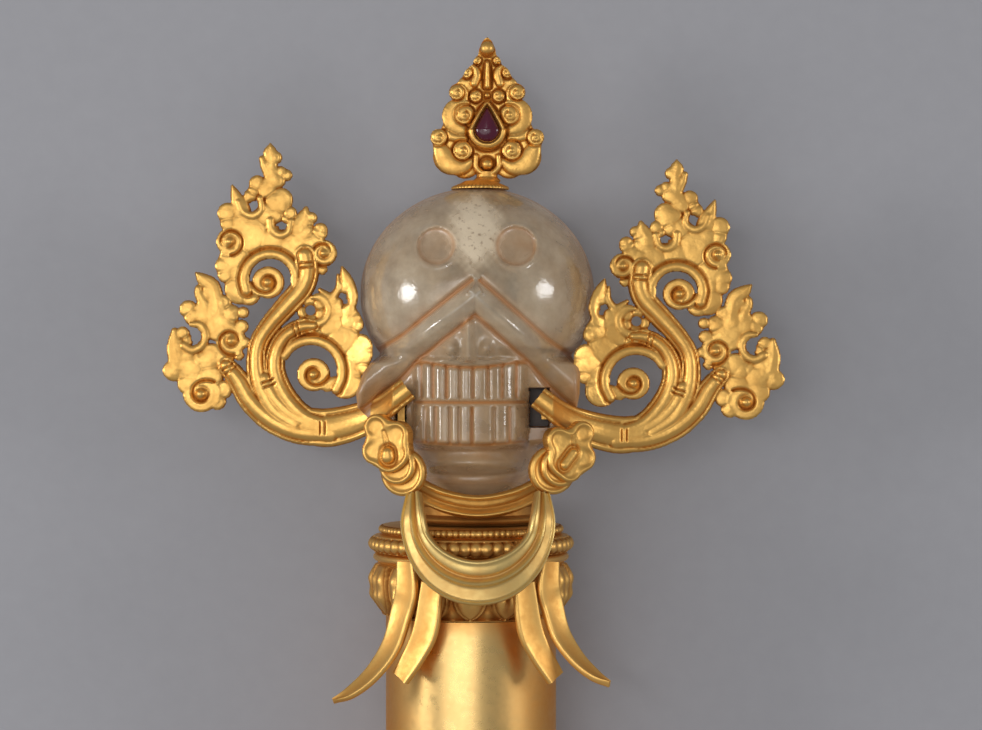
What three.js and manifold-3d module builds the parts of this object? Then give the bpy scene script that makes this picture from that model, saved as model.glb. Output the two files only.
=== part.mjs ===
// A ritual sceptre lying on its back: a rock-crystal skull on a gilt staff, with flaming side scrolls,
// a jewelled flame finial, a hanging scarf of gilt ribbon, a beaded lotus capital and a plain pommel.
// Millimetres. +Y runs along the staff towards the finial, +Z points up out of the skull's face,
// and the origin lies on the ground under the middle of the cranium.
import * as THREE from "three";
import { mergeVertices } from "three/addons/utils/BufferGeometryUtils.js";
import Module from "manifold-3d";

const wasm = await Module();
wasm.setup();

// Driving dimensions.
const axisHeight = 20;
const seatGap = 0.3;
const restSpotRise = 0.35;

const shaftRadius = 16;
const shaftLength = 268;
const capitalLength = 17;
const capitalBottomY = -60;
const petalRadius = 19;
const petalCount = 16;
const beadRingRadius = 19.6;
const beadCount = 54;
const neckCupRadius = 11.5;
const neckCupWall = 2.6;
const pommelLength = 46;
const pommelRingHeight = 7;
const pommelKnobRadius = 16.5;
const pommelFootRadius = 7;

const craniumHalfWidth = 22;
const craniumHalfHeight = 20.1;
const craniumFront = 19.5;
const chinY = -39.5;
const headShift = 1.2;
const faceShift = -1.4;
const eyeSpacing = 14.5;
const eyeY = 8.4;
const eyeRadius = 3.5;
const eyeDepth = 1;
const browApexY = -1.5;
const browEndX = 19;
const browEndY = -16.5;
const browWidth = 4;
const browRise = 1.2;
const toothTopY = -13.3;
const biteY = -20.1;
const toothBottomY = -26.7;
const toothPitch = 2.6;
const toothCount = 8;
const grooveWidth = 0.7;
const grooveDepth = 0.9;
const slotSpans = [[-13.9, -11.3], [10.8, 14.6]];
const slotTopY = -17.4;
const slotBottomY = -24.7;
const slotFloorZ = 5;

const leafThickness = 1.8;
const boughThickness = 3;
const ridgeRise = 0.6;
const scrollRise = 0.5;
const beadRise = 0.9;
const tongueSpan = [-2.4, -0.6];
const tongueStep = 5;
const wingPlaneZ = 3.5;
const wingRootRise = 10.4;
const wingRiseReach = 5.6;
const wingRootX = 14.55;
const wingRootY = -19;
const wingLeftStretch = 1;
const wingRightStretch = 0.965;
const wingRightDrop = 1.5;
const wingRightForward = 1.3;
const wingCentreX = 0.45;

const scarfShift = 1.4;
const ribbonThickness = 1.3;
const crescentThickness = 1.6;
const ribbonSeat = petalRadius + 2.5 * seatGap;
const crescentRadius = ribbonSeat + ribbonThickness + 2 * seatGap;
const crescentTopY = -38.8;
const crescentBottomY = -52.3;
const crescentHalfSpan = 11.7;
const crescentWidth = 7.7;
const crescentHornWidth = 3.6;
const neckBandWidth = 2.9;
const neckBandThickness = 1.5;
const knotX = 16.3;
const knotY = -30.2;
const knotZ = 16.2;
const knotTurn = 20;

const finialShift = 3.3;
const finialHeight = 27;
const finialHalfWidth = 10.8;
const finialThickness = 3.2;
const gemWidth = 4.9;
const gemHeight = 6.4;
const gemRise = 1;
const capRadius = 5.4;
const capHeight = 1;

const degrees = Math.PI / 180;
const outlineStep = 0.55;

const gilt = new THREE.MeshStandardMaterial({ color: 0xd9a441, roughness: 0.35, metalness: 1 });
const paleGilt = new THREE.MeshStandardMaterial({ color: 0xd8b765, roughness: 0.3, metalness: 1 });
const crystal = new THREE.MeshStandardMaterial({ color: 0xcfc4b4, roughness: 0.12, metalness: 0, transparent: true, opacity: 0.5 });
const garnet = new THREE.MeshStandardMaterial({ color: 0x6b1230, roughness: 0.08, metalness: 0 });

// A closed geometry as a solid that can be joined and cut.
function solid(geometry) {
  const bare = geometry.clone();
  for (const name of Object.keys(bare.attributes)) {
    if (name !== "position") bare.deleteAttribute(name);
  }
  const merged = mergeVertices(bare, 1e-4);
  return new wasm.Manifold(
    new wasm.Mesh({
      numProp: 3,
      vertProperties: merged.attributes.position.array,
      triVerts: new Uint32Array(merged.index.array),
    }),
  );
}

function geometryOf(made) {
  const mesh = made.getMesh();
  const geometry = new THREE.BufferGeometry();
  geometry.setAttribute("position", new THREE.BufferAttribute(new Float32Array(mesh.vertProperties), 3));
  geometry.setIndex(new THREE.BufferAttribute(new Uint32Array(mesh.triVerts), 1));
  geometry.computeVertexNormals();
  return geometry;
}

function joined(solids) {
  return solids.reduce((all, next) => all.add(next));
}

// Moves every vertex of a geometry by a function of its position.
function warped(geometry, move) {
  const position = geometry.getAttribute("position");
  const point = new THREE.Vector3();
  for (let i = 0; i < position.count; i++) {
    point.fromBufferAttribute(position, i);
    move(point);
    position.setXYZ(i, point.x, point.y, point.z);
  }
  geometry.computeVertexNormals();
  return geometry;
}

function named(name, geometry, material) {
  const mesh = new THREE.Mesh(geometry, material);
  mesh.name = name;
  return mesh;
}

function slab(x0, x1, y0, y1, z0, z1) {
  const box = new THREE.BoxGeometry(x1 - x0, y1 - y0, z1 - z0);
  return box.translate((x0 + x1) / 2, (y0 + y1) / 2, (z0 + z1) / 2);
}

// A round plate that faces +Z, from z0 to z1.
function disc(x, y, radius, z0, z1, sides = radius > 2.5 ? 8 : 6) {
  const plate = new THREE.CylinderGeometry(radius, radius, z1 - z0, sides);
  return plate.rotateX(Math.PI / 2).translate(x, y, (z0 + z1) / 2);
}

// A low dome that faces +Z on a plate whose face is at z.
function dome(x, y, radius, z, rise, sides = 6, rows = 3) {
  const ball = new THREE.SphereGeometry(radius, sides, rows).rotateX(Math.PI / 2);
  return ball.scale(1, 1, rise / radius).translate(x, y, z);
}

// A flat stroke whose half-width changes along its curve, from z0 to z1. Each point is [x, y, half-width].
function stroke(points, z0, z1) {
  const curve = new THREE.CatmullRomCurve3(points.map(([x, y, w]) => new THREE.Vector3(x, y, w)));
  const count = points.length - 1;
  const left = [];
  const right = [];
  for (let i = 0; i <= count; i++) {
    const at = curve.getPoint(i / count);
    const along = curve.getTangent(i / count);
    const side = new THREE.Vector2(-along.y, along.x).normalize();
    left.push(new THREE.Vector2(at.x, at.y).addScaledVector(side, at.z));
    right.unshift(new THREE.Vector2(at.x, at.y).addScaledVector(side, -at.z));
  }
  const outline = new THREE.Shape([...left, ...right]);
  const ribbon = new THREE.ExtrudeGeometry(outline, { depth: z1 - z0, bevelEnabled: false });
  return ribbon.translate(0, 0, z0);
}

// The side scrolls, in a plane with x outwards from the skull and y towards the finial.
// Each leaf has rounded lobes, scrolled curls, an opening with a scrolled boss, flames, hooks and pierced eyes.
const leaves = [
  {
    lobes: [
      [27, 30.2, 3.9], [22.9, 28.8, 3.1], [18.8, 27.8, 3.3], [29.8, 25.6, 3.1], [31.4, 24.3, 2.2], [28.9, 20.1, 3],
      [31.2, 34.1, 2], [28.6, 32.3, 2.4], [21.9, 36.1, 2.7], [24, 33.8, 2.4], [25.7, 39.4, 1.7], [23.7, 38.2, 2.2],
      [21.4, 41.6, 1.3], [17.6, 30.6, 2.4], [14.3, 30.4, 1.6], [16.4, 28.4, 2.6], [22.6, 41, 1.8], [31.2, 22.8, 1.9],
      [29.2, 22.6, 2.3],
    ],
    curls: [[30.8, 28.8, 2.7], [13.9, 26.7, 2.3]],
    opening: [23.3, 21.7, 3.9],
    boss: [23.7, 21.2, 3],
    bridge: [[25.2, 20, 1.5], [28, 19.9, 1.5]],
    rim: { radius: 4.8, halfWidth: 0.9, from: -10, to: 205 },
    flames: [
      [[28.8, 35.2, 1.3], [30, 37.2, 1.1], [30.5, 39.5, 0.2]],
      [[22.9, 39.6, 1.4], [23.4, 42.1, 0.9], [22.9, 43.7, 0.9], [23.2, 45.3, 1.3], [23.3, 46.9, 0.3]],
      [[23.7, 41.5, 0.9], [24.4, 42.9, 0.8], [24.8, 44.3, 0.6]],
      [[18, 31.7, 1.5], [17, 33.3, 1.3], [16.6, 35, 0.4]],
    ],
    hooks: [
      [[29.2, 36.2, 0.7], [28.4, 34.4, 0.7], [26.6, 33.6, 0.8], [25, 34.8, 0.7], [25.2, 36.8, 0.6]],
      [[23.3, 32.8, 0.7], [23, 31, 0.8], [21.6, 30, 0.8], [20, 30.6, 0.7], [19.4, 32.6, 0.6]],
    ],
    eyes: [[26.7, 35.5, 0.9], [21.4, 31.8, 0.9]],
  },
  {
    lobes: [
      [9.2, 2.6, 3.1], [6.8, 7.8, 2.8], [8.4, 14, 2.3], [9.8, 10.6, 3.3], [11.8, 13.2, 2.7], [15, 12.2, 1.9],
      [17.8, 12.3, 1.6], [8.6, 5, 2.4], [11, 16.8, 1.6],
    ],
    curls: [],
    opening: [15.7, 4.6, 4.9],
    boss: [15.2, 4, 3.1],
    bridge: [[12.7, 2.1, 1.3], [10.2, 2.5, 1.4]],
    rim: { radius: 5.8, halfWidth: 0.9, from: -35, to: 150 },
    flames: [
      [[11.3, 15.8, 1.7], [12.1, 18, 1.1], [14, 19.8, 0.4]],
      [[11.7, 18.3, 0.8], [10.5, 20.1, 0.7], [10.6, 22.5, 0.3]],
      [[9.5, 16.2, 1.5], [8.1, 18.9, 0.8], [8, 20.7, 0.9], [8.8, 22.5, 0.9], [9.8, 23.9, 0.2]],
    ],
    hooks: [[[17.6, 14, 0.6], [15.4, 13.4, 0.8], [13.1, 14.2, 0.8], [12.3, 16.4, 0.8], [13.7, 18.3, 0.9], [15.4, 18.4, 0.4]]],
    eyes: [[8.8, 17.7, 0.6]],
  },
  {
    lobes: [
      [41.4, 4.8, 2], [38.6, 5.5, 2.6], [38.4, 2.4, 2.3], [34.7, 3.6, 2.6], [34.3, 7.4, 2.5], [38.6, 16.2, 1.7],
      [33.1, 13.4, 3.2], [35.6, 15.1, 2.7], [31.2, 15.7, 2.1], [39.6, 7, 2.1], [32.3, 7, 2.4], [36.6, 6, 2.4],
    ],
    curls: [[36.2, 0.4, 3.4], [30.6, 10.3, 2.8]],
    flames: [
      [[41.3, 6.7, 1.6], [42, 9.6, 1.2], [41, 12, 0.9]],
      [[33.1, 16.1, 1.4], [33.3, 18.7, 1.3], [34.5, 20.8, 1.6], [36.4, 21.8, 1.2], [37.1, 22.9, 0.3]],
      [[35.6, 17.1, 1.2], [36.6, 19.1, 0.9], [36.7, 20.1, 0.7]],
    ],
    hooks: [[[39.4, 9.4, 0.8], [37.8, 8.6, 0.8], [36, 9.6, 0.8], [35.4, 11.6, 0.8], [36.4, 13.2, 0.8], [38, 13.4, 0.5]]],
    eyes: [],
  },
];

const boughs = [
  [[-1.8, 0.8, 2.2], [0.4, -0.9, 2.3], [3.2, -2.8, 2.7], [6.6, -4.4, 3.2], [9.8, -5.4, 3.5], [13.4, -5.9, 3.6], [16.9, -5.6, 3.2]],
  [[12, -7, 2.5], [17.1, -6.6, 2.4], [22, -4.7, 2.4], [26.2, -1.5, 2.4], [29, 2.1, 2.2], [31.2, 5.3, 1.8]],
  [[15.5, -5, 2.6], [16.9, -4.5, 2.4], [20, -2.6, 2.5], [22.4, 0.2, 2.5], [24.5, 3.8, 2.4]],
  [[24.3, 2, 2.3], [26.1, 6.4, 1.8], [26.1, 9.8, 1.8], [24.1, 12.6, 2.1], [20.9, 15.6, 2.3], [18.3, 18.6, 2.3],
    [16.6, 21.8, 2.4], [16.8, 25.8, 2.4]],
  [[23.6, 2.6, 2.1], [22.4, 7.2, 1.8], [20.9, 9.8, 1.8], [17.6, 12, 1.8]],
];

function arcStroke([x, y], { radius, halfWidth, from, to }, z0, z1) {
  const points = [];
  const count = 7;
  for (let i = 0; i <= count; i++) {
    const angle = (from + ((to - from) * i) / count) * degrees;
    points.push([x - radius * Math.cos(angle), y + radius * Math.sin(angle), halfWidth]);
  }
  return stroke(points, z0, z1);
}

// Drops the points of an open run that lie within a small step of the straight line between its ends.
function thinned(points) {
  const [first, last] = [points[0], points[points.length - 1]];
  const along = last.clone().sub(first).normalize();
  let farthest = 0;
  let reach = outlineStep;
  for (let i = 1; i < points.length - 1; i++) {
    const away = Math.abs(along.cross(points[i].clone().sub(first)));
    if (away > reach) [farthest, reach] = [i, away];
  }
  if (!farthest) return [first, last];
  return [...thinned(points.slice(0, farthest + 1)).slice(0, -1), ...thinned(points.slice(farthest))];
}

// The flat plate that covers a set of joined discs and strokes, from z0 to z1.
// Its outline is read from the joined solid's upper face, and its short steps are left out.
function plate(solids, z0, z1) {
  const mesh = joined(solids).getMesh();
  const points = mesh.vertProperties;
  const open = new Map();
  for (let i = 0; i < mesh.triVerts.length; i += 3) {
    const corners = [...mesh.triVerts.slice(i, i + 3)];
    if (corners.some((v) => Math.abs(points[v * 3 + 2] - z1) > 1e-3)) continue;
    corners.forEach((from, k) => {
      const to = corners[(k + 1) % 3];
      if (!open.delete(`${to} ${from}`)) open.set(`${from} ${to}`, [from, to]);
    });
  }
  const next = new Map(open.values());
  const path = new THREE.ShapePath();
  while (next.size) {
    const start = next.keys().next().value;
    const loop = [];
    for (let v = start; next.has(v); ) {
      loop.push(new THREE.Vector2(points[v * 3], points[v * 3 + 1]));
      const to = next.get(v);
      next.delete(v);
      v = to;
    }
    const half = Math.floor(loop.length / 2);
    const thin = [...thinned(loop.slice(0, half + 1)).slice(0, -1), ...thinned([...loop.slice(half), loop[0]]).slice(0, -1)];
    if (thin.length > 2) path.subPaths.push(new THREE.Path(thin));
  }
  const cut = new THREE.ExtrudeGeometry(path.toShapes(true), { depth: z1 - z0, bevelEnabled: false });
  return solid(cut.translate(0, 0, z0));
}

function leafSolid(leaf) {
  const half = leafThickness / 2;
  const high = half + scrollRise;
  const pieces = [
    ...leaf.lobes.map(([x, y, r]) => solid(disc(x, y, r, -half, half))),
    ...[...leaf.flames, ...leaf.hooks].map((points) => solid(stroke(points, -half, half))),
  ];
  let body = plate(pieces, -half, half);
  if (leaf.rim) body = body.add(solid(arcStroke(leaf.opening, leaf.rim, -half, high)));
  if (leaf.opening) {
    const [x, y, r] = leaf.opening;
    body = body.subtract(solid(disc(x, y, r, -high - 1, high + 1)));
  }
  const raised = [...leaf.curls, ...(leaf.boss ? [leaf.boss] : [])];
  body = joined([
    body,
    ...raised.map(([x, y, r]) => solid(disc(x, y, r, -half, high))),
    ...(leaf.bridge ? [solid(stroke(leaf.bridge, -half, half))] : []),
  ]);
  for (const [x, y, r] of leaf.eyes) body = body.subtract(solid(disc(x, y, r, -high - 1, high + 1)));
  for (const [x, y, r] of raised) body = body.add(solid(dome(x, y, r * 0.36, high, beadRise)));
  return body;
}

// One side scroll: the bough that forks three ways, its leaves, and the tongue that drops into the cheek's slot.
function wing(side, stretch, drop, forward) {
  const half = boughThickness / 2;
  const ridge = (points) => points.map(([x, y, w]) => [x, y, w * 0.45]);
  const thick = plate(boughs.map((points) => solid(stroke(points, -half, half))), -half, half);
  const top = half + ridgeRise;
  const ridges = plate(boughs.map((points) => solid(stroke(ridge(points), 0, top))), 0, top);
  const flat = joined([...leaves.map(leafSolid), thick, ridges]);
  const lift = (x) => wingPlaneZ + wingRootRise * Math.exp(-Math.max(x, 0) / wingRiseReach);
  const bent = warped(geometryOf(flat), (point) => {
    point.y = point.y * stretch - drop;
    point.z += lift(point.x) + forward;
  });
  const rootTop = lift(0) + forward;
  const low = slotFloorZ + seatGap;
  const topY = slotTopY - wingRootY - 0.5;
  const bottomY = slotBottomY - wingRootY + seatGap;
  const stub = slab(...tongueSpan, topY - 2.6, topY, low, rootTop);
  const tongue = slab(...tongueSpan, bottomY, topY, low, rootTop - tongueStep);
  const whole = joined([solid(bent), solid(stub), solid(tongue)]);
  const placed = warped(geometryOf(whole), (point) => {
    point.x = side * (point.x + wingRootX) + wingCentreX;
    point.y += wingRootY;
  });
  return side > 0 ? placed : flipped(placed);
}

// Turns every face round, after a mirroring move.
function flipped(geometry) {
  const index = geometry.getIndex();
  for (let i = 0; i < index.count; i += 3) {
    const second = index.getX(i + 1);
    index.setX(i + 1, index.getX(i + 2));
    index.setX(i + 2, second);
  }
  return geometry;
}

// The skull's stations below the cranium: [y, half-width, depth in front, depth behind, sideways shift].
const jaw = [
  [-11, 17.9, 15.6, 17, -0.4], [-14.7, 20, 13.6, 14, -1], [-18.5, 20.6, 12.6, 11.8, -1.7], [-21, 20.2, 12.2, 10.6, -1.8],
  [-23.8, 17.6, 12.4, 9.6, -1.6], [-26.9, 14.3, 13.4, 9, -1], [-31, 11.6, 13, 8.4, -0.4], [-34.8, 9.6, 10.8, 7.8, 0],
  [-37.5, 8.3, 8.8, 7.2, 0], [chinY, 7.4, 7.4, 6.8, 0],
];

function skullSize(y) {
  const craniumBack = axisHeight + restSpotRise;
  if (y > jaw[0][0]) {
    const share = Math.sqrt(Math.max(0, 1 - (y / craniumHalfHeight) ** 2));
    return [craniumHalfWidth * share, craniumFront * share, craniumBack * share, 0];
  }
  const below = jaw.findIndex(([stationY]) => stationY <= y + 1e-9);
  const high = jaw[Math.max(below - 1, 0)];
  const low = jaw[below < 0 ? jaw.length - 1 : below];
  const span = high[0] - low[0];
  const t = span > 0 ? (high[0] - y) / span : 0;
  return [1, 2, 3, 4].map((k) => high[k] + (low[k] - high[k]) * t);
}

function skullFrontZ(x, y) {
  const [width, front, , shift] = skullSize(y);
  return front * Math.sqrt(Math.max(0, 1 - ((x - shift) / width) ** 2));
}

function skullBase() {
  const profile = [];
  const crownRows = 7;
  const lastAngle = Math.acos(jaw[0][0] / craniumHalfHeight);
  for (let i = 0; i < crownRows; i++) {
    const y = craniumHalfHeight * Math.cos((lastAngle * i) / crownRows);
    profile.push(new THREE.Vector2(i === 0 ? 0 : skullSize(y)[0], y));
  }
  for (const [y, width] of jaw) profile.push(new THREE.Vector2(width, y));
  profile.push(new THREE.Vector2(0, chinY));
  const turned = new THREE.LatheGeometry(profile.reverse(), 24);
  return warped(turned, (point) => {
    const [width, front, back, shift] = skullSize(point.y);
    if (width > 0) point.z *= (point.z > 0 ? front : back) / width;
    point.x += shift;
  });
}

// One arm of the chevron brow: a rounded bar laid on the face.
function browArm(side) {
  const route = [];
  const count = 6;
  for (let i = 0; i <= count; i++) {
    const t = i / count;
    const y = browApexY + (browEndY - browApexY) * t;
    const x = side * browEndX * t + skullSize(y)[3];
    route.push(new THREE.Vector3(x, y, Math.max(skullFrontZ(x, y), 2.5) - browRise * 0.4));
  }
  const section = new THREE.Shape();
  section.absellipse(0, 0, browRise * 1.6, browWidth / 2, 0, 2 * Math.PI);
  return new THREE.ExtrudeGeometry(section, {
    steps: 5,
    curveSegments: 2,
    extrudePath: new THREE.CatmullRomCurve3(route),
  });
}

function crystalSkull() {
  const muzzle = new THREE.CylinderGeometry(10.4, 9.6, toothTopY - toothBottomY + 1.4, 14);
  muzzle.scale(1, 1, 0.72).translate(faceShift, (toothTopY + toothBottomY) / 2, 10.2);
  const nose = new THREE.SphereGeometry(1, 12, 8);
  nose.scale(5, 5.4, 3.2).translate(faceShift, toothTopY + 3.2, 16.2);
  const chin = new THREE.SphereGeometry(1, 14, 6);
  chin.scale(9.4, 2.2, 2.6).translate(faceShift, toothBottomY - 3.4, 11.4);
  let head = joined([skullBase(), browArm(1), browArm(-1), muzzle, nose, chin].map(solid));

  const eyeBall = (eyeRadius ** 2 + eyeDepth ** 2) / (2 * eyeDepth);
  for (const side of [-1, 1]) {
    const x = (side * eyeSpacing) / 2 - 0.2;
    const z = skullFrontZ(x, eyeY);
    const normal = new THREE.Vector3(x / craniumHalfWidth ** 2, eyeY / craniumHalfHeight ** 2, z / craniumFront ** 2);
    const centre = new THREE.Vector3(x, eyeY, z).addScaledVector(normal.normalize(), eyeBall - eyeDepth);
    const pit = new THREE.SphereGeometry(eyeBall, 12, 8).translate(centre.x, centre.y, centre.z);
    head = head.subtract(solid(pit));
  }
  for (let i = -toothCount / 2; i <= toothCount / 2; i++) {
    const x = faceShift + i * toothPitch * 0.92;
    const faceZ = 10.2 + 0.72 * Math.sqrt(Math.max(0, 10 ** 2 - (x - faceShift) ** 2));
    const cut = slab(
      x - grooveWidth / 2, x + grooveWidth / 2, toothBottomY, toothTopY, faceZ - grooveDepth, faceZ + 6,
    );
    if (Math.abs(i) < toothCount / 2) head = head.subtract(solid(cut));
  }
  const biteRing = new THREE.CylinderGeometry(12, 12, grooveWidth, 12).scale(1, 1, 0.9);
  const biteCore = new THREE.CylinderGeometry(9.4, 9.4, grooveWidth * 2, 14).scale(1, 1, 0.72);
  for (const y of [biteY, toothTopY + 0.3, toothBottomY - 0.3]) {
    const ring = solid(biteRing.clone().translate(faceShift, y, 10.2));
    const groove = ring.subtract(solid(biteCore.clone().translate(faceShift, y, 10.2)));
    const front = solid(slab(-11, 11, y - 1, y + 1, 12, 30));
    head = head.subtract(groove.intersect(front));
  }
  for (const [x0, x1] of slotSpans) {
    head = head.subtract(solid(slab(x0 - headShift, x1 - headShift, slotBottomY, slotTopY, slotFloorZ, 40)));
  }
  const ground = slab(-60, 60, -60, 60, -60, -axisHeight);
  return geometryOf(head.subtract(solid(ground)));
}

function lathe(profile, sides) {
  return new THREE.LatheGeometry(profile.map(([r, y]) => new THREE.Vector2(r, y)), sides);
}

function shaft() {
  const bottom = capitalBottomY - shaftLength;
  return lathe([[0, bottom], [shaftRadius, bottom], [shaftRadius, capitalBottomY], [0, capitalBottomY]], 40);
}

// A ring with rounded beads round its edge, as a scalloped plate with its axis along Y.
function beadRing(radius, beadRadius, count, y0, y1) {
  const outline = new THREE.Shape();
  const points = [];
  for (let i = 0; i < count * 2; i++) {
    const angle = (i * Math.PI) / count;
    const r = i % 2 ? radius - beadRadius * 0.7 : radius;
    points.push(new THREE.Vector2(r * Math.cos(angle), r * Math.sin(angle)));
  }
  outline.setFromPoints(points);
  const ring = new THREE.ExtrudeGeometry(outline, { depth: y1 - y0, bevelEnabled: false });
  return ring.rotateX(-Math.PI / 2).translate(0, y0, 0);
}

function capital() {
  const bottom = capitalBottomY;
  const top = bottom + capitalLength;
  const waist = petalRadius - 1.6;
  const core = lathe(
    [
      [0, bottom], [shaftRadius + 0.5, bottom], [waist, bottom + 9.6], [petalRadius - 0.6, bottom + 10.2],
      [petalRadius - 0.6, bottom + 11.6], [waist, bottom + 12.2], [waist, bottom + 15],
      [petalRadius - 1.2, bottom + 15.3], [petalRadius - 1.2, bottom + 16.5], [neckCupRadius + 2, top], [0, top],
    ],
    16,
  );
  // Lotus petals that hang down: a ring whose radius swells in each petal and tapers to rounded tips.
  const rows = 2;
  const profile = [[0, bottom + 0.6]];
  for (let i = 0; i <= rows; i++) {
    const t = i / rows;
    profile.push([petalRadius + 0.2 - 2.4 * (1 - t) ** 2.6 - 1.1 * t ** 3, bottom + 0.6 + 8.8 * t]);
  }
  profile.push([0, bottom + 9.4]);
  const petals = warped(lathe(profile, petalCount * 3), (point) => {
    const radius = Math.hypot(point.x, point.z);
    if (radius < 1) return;
    const angle = Math.atan2(point.x, point.z);
    const swell = 1 + 0.028 * (Math.abs(Math.cos((petalCount / 2) * angle)) - 0.75);
    point.x *= swell;
    point.z *= swell;
    const valley = 1 - Math.abs(Math.cos((petalCount / 2) * angle));
    if (point.y < bottom + 2) point.y += 1.1 * valley;
  });
  const beads = beadRing(beadRingRadius, 1.1, beadCount, bottom + 12.6, bottom + 14.8);
  return geometryOf(joined([core, petals, beads].map(solid)));
}

function neckCup() {
  const foot = capitalBottomY + capitalLength;
  const rim = chinY + 1.4;
  const seat = chinY - seatGap;
  const inner = neckCupRadius - neckCupWall;
  return lathe(
    [
      [0, foot], [neckCupRadius + 1.4, foot], [neckCupRadius - 0.6, foot + 1.6], [neckCupRadius, rim - 1],
      [neckCupRadius, rim], [inner, rim], [inner, seat], [0, seat],
    ],
    20,
  );
}

function pommel() {
  const top = capitalBottomY - shaftLength;
  const bottom = top - pommelLength;
  const ringRadius = axisHeight + restSpotRise;
  const ringY = top - 10;
  const profile = [
    [0, bottom], [pommelFootRadius, bottom], [pommelFootRadius + 1.5, bottom + 1.5], [pommelFootRadius, bottom + 3],
  ];
  const knobTop = ringY - pommelRingHeight / 2 - 4;
  const knobBottom = bottom + 3;
  const rows = 4;
  for (let i = 1; i <= rows; i++) {
    const t = i / rows;
    const bulge = Math.sin(Math.PI * (0.2 + 0.66 * t));
    profile.push([pommelFootRadius + (pommelKnobRadius - pommelFootRadius) * bulge, knobBottom + (knobTop - knobBottom) * t]);
  }
  profile.push(
    [shaftRadius - 1, knobTop + 1], [shaftRadius - 1, knobTop + 2], [shaftRadius + 1.5, knobTop + 3],
    [ringRadius - 1.6, ringY - pommelRingHeight / 2], [ringRadius, ringY - pommelRingHeight / 4],
    [ringRadius, ringY + pommelRingHeight / 4], [ringRadius - 1.6, ringY + pommelRingHeight / 2],
    [shaftRadius + 1.2, ringY + pommelRingHeight / 2 + 1.5], [shaftRadius + 1.8, top - 1.5], [shaftRadius + 1, top], [0, top],
  );
  const turned = solid(lathe(profile, 20));
  const ground = slab(-60, 60, bottom - 10, top + 10, -60, -axisHeight);
  return geometryOf(turned.subtract(solid(ground)));
}

// A ribbon of metal along a curve, its face turned away from the staff's axis.
// Each point is [x, y, z, width]; relief(s) is the height added at s from -1 to 1 across the face.
function ribbon(points, thickness, relief, across, along) {
  const curve = new THREE.CatmullRomCurve3(points.map(([x, y, z]) => new THREE.Vector3(x, y, z)));
  const widths = new THREE.CatmullRomCurve3(points.map(([x, y, z, width]) => new THREE.Vector3(width, 0, 0)));
  const strip = new THREE.BoxGeometry(2, 1, 1, across, along, 1);
  return warped(strip, (point) => {
    const t = point.y + 0.5;
    const s = point.x;
    const outer = point.z > 0;
    const at = curve.getPoint(t);
    const tangent = curve.getTangent(t);
    const outward = new THREE.Vector3(at.x - scarfShift, 0, at.z).normalize();
    const sideways = new THREE.Vector3().crossVectors(tangent, outward).normalize();
    const normal = new THREE.Vector3().crossVectors(sideways, tangent).normalize();
    const half = widths.getPoint(t).x / 2;
    const height = outer ? thickness / 2 + relief(s) : -thickness / 2;
    point.copy(at).addScaledVector(sideways, s * half).addScaledVector(normal, height);
  });
}

// A point at a distance from the staff's axis, at x across the front.
function onRound(x, y, radius, width) {
  return [x + scarfShift, y, Math.sqrt(Math.max(radius ** 2 - x ** 2, 1)), width];
}

function crescent() {
  const middle = crescentRadius + crescentThickness / 2;
  const points = [];
  const count = 10;
  const bowlY = crescentBottomY + crescentHalfSpan;
  points.push(onRound(-crescentHalfSpan - 0.2, crescentTopY, middle - 4, crescentHornWidth));
  for (let i = 0; i <= count; i++) {
    const angle = Math.PI + (Math.PI * i) / count;
    const x = crescentHalfSpan * Math.cos(angle);
    const y = bowlY + (bowlY - crescentBottomY) * Math.sin(angle);
    const share = Math.max(0, -Math.sin(angle)) ** 1.4;
    points.push(onRound(x, y, middle, crescentHornWidth + 1 + (crescentWidth - crescentHornWidth - 1) * share));
  }
  points.push(onRound(crescentHalfSpan + 0.2, crescentTopY, middle - 4, crescentHornWidth));
  const relief = (s) => 0.45 * Math.cos(3 * Math.PI * s) * (1 - 0.2 * s) - 0.25;
  return ribbon(points, crescentThickness, relief, 4, 16);
}

function neckBand() {
  const reach = neckCupRadius + seatGap + neckBandThickness / 2;
  const points = [
    [scarfShift - 14.4, -32.6, 11.4, 2], [scarfShift - 11.4, -35.4, 12.4, neckBandWidth],
    [scarfShift - 6.4, -38.3, reach + 0.8, neckBandWidth], [scarfShift, -39.6, reach + 1.2, neckBandWidth],
    [scarfShift + 6.4, -38.3, reach + 0.8, neckBandWidth], [scarfShift + 11.4, -35.4, 12.4, neckBandWidth],
    [scarfShift + 14.4, -32.6, 11.4, 2],
  ];
  return ribbon(points, neckBandThickness, (s) => 0.25 * Math.cos(2 * Math.PI * s) - 0.25, 4, 12);
}

// The ribbon ends, as [x from the scarf's middle, y, distance of the inner face from the axis, width].
const outerEnd = [
  [13, -48.9, 0, 4], [12.9, -54.2, 0, 4.9], [13.9, -58.4, 0, 4.9], [15.7, -64.2, 1.4, 4.4], [19, -69.1, 4.4, 3.5],
  [22.8, -72.4, 8, 2.4], [26.2, -74, 11.2, 0.5],
];
const innerEnd = [
  [8.2, -52.6, 0, 4.2], [9.3, -60.5, 0, 4.9], [11.1, -65, 0.2, 4.5], [14, -70, 0.9, 3.8],
];

function ribbonEnd(end, side, stretch) {
  const topY = end[0][1];
  const base = ribbonSeat + ribbonThickness / 2;
  const points = end.map(([x, y, stand, width], i) => {
    const narrowed = x * (1 + ((stretch - 1) * 0.7 * i) / (end.length - 1));
    return onRound(side * narrowed, topY + (y - topY) * stretch, base + stand, width);
  });
  return ribbon(points, ribbonThickness, (s) => 0.25 * s * s - 0.1, 2, 10);
}

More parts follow.
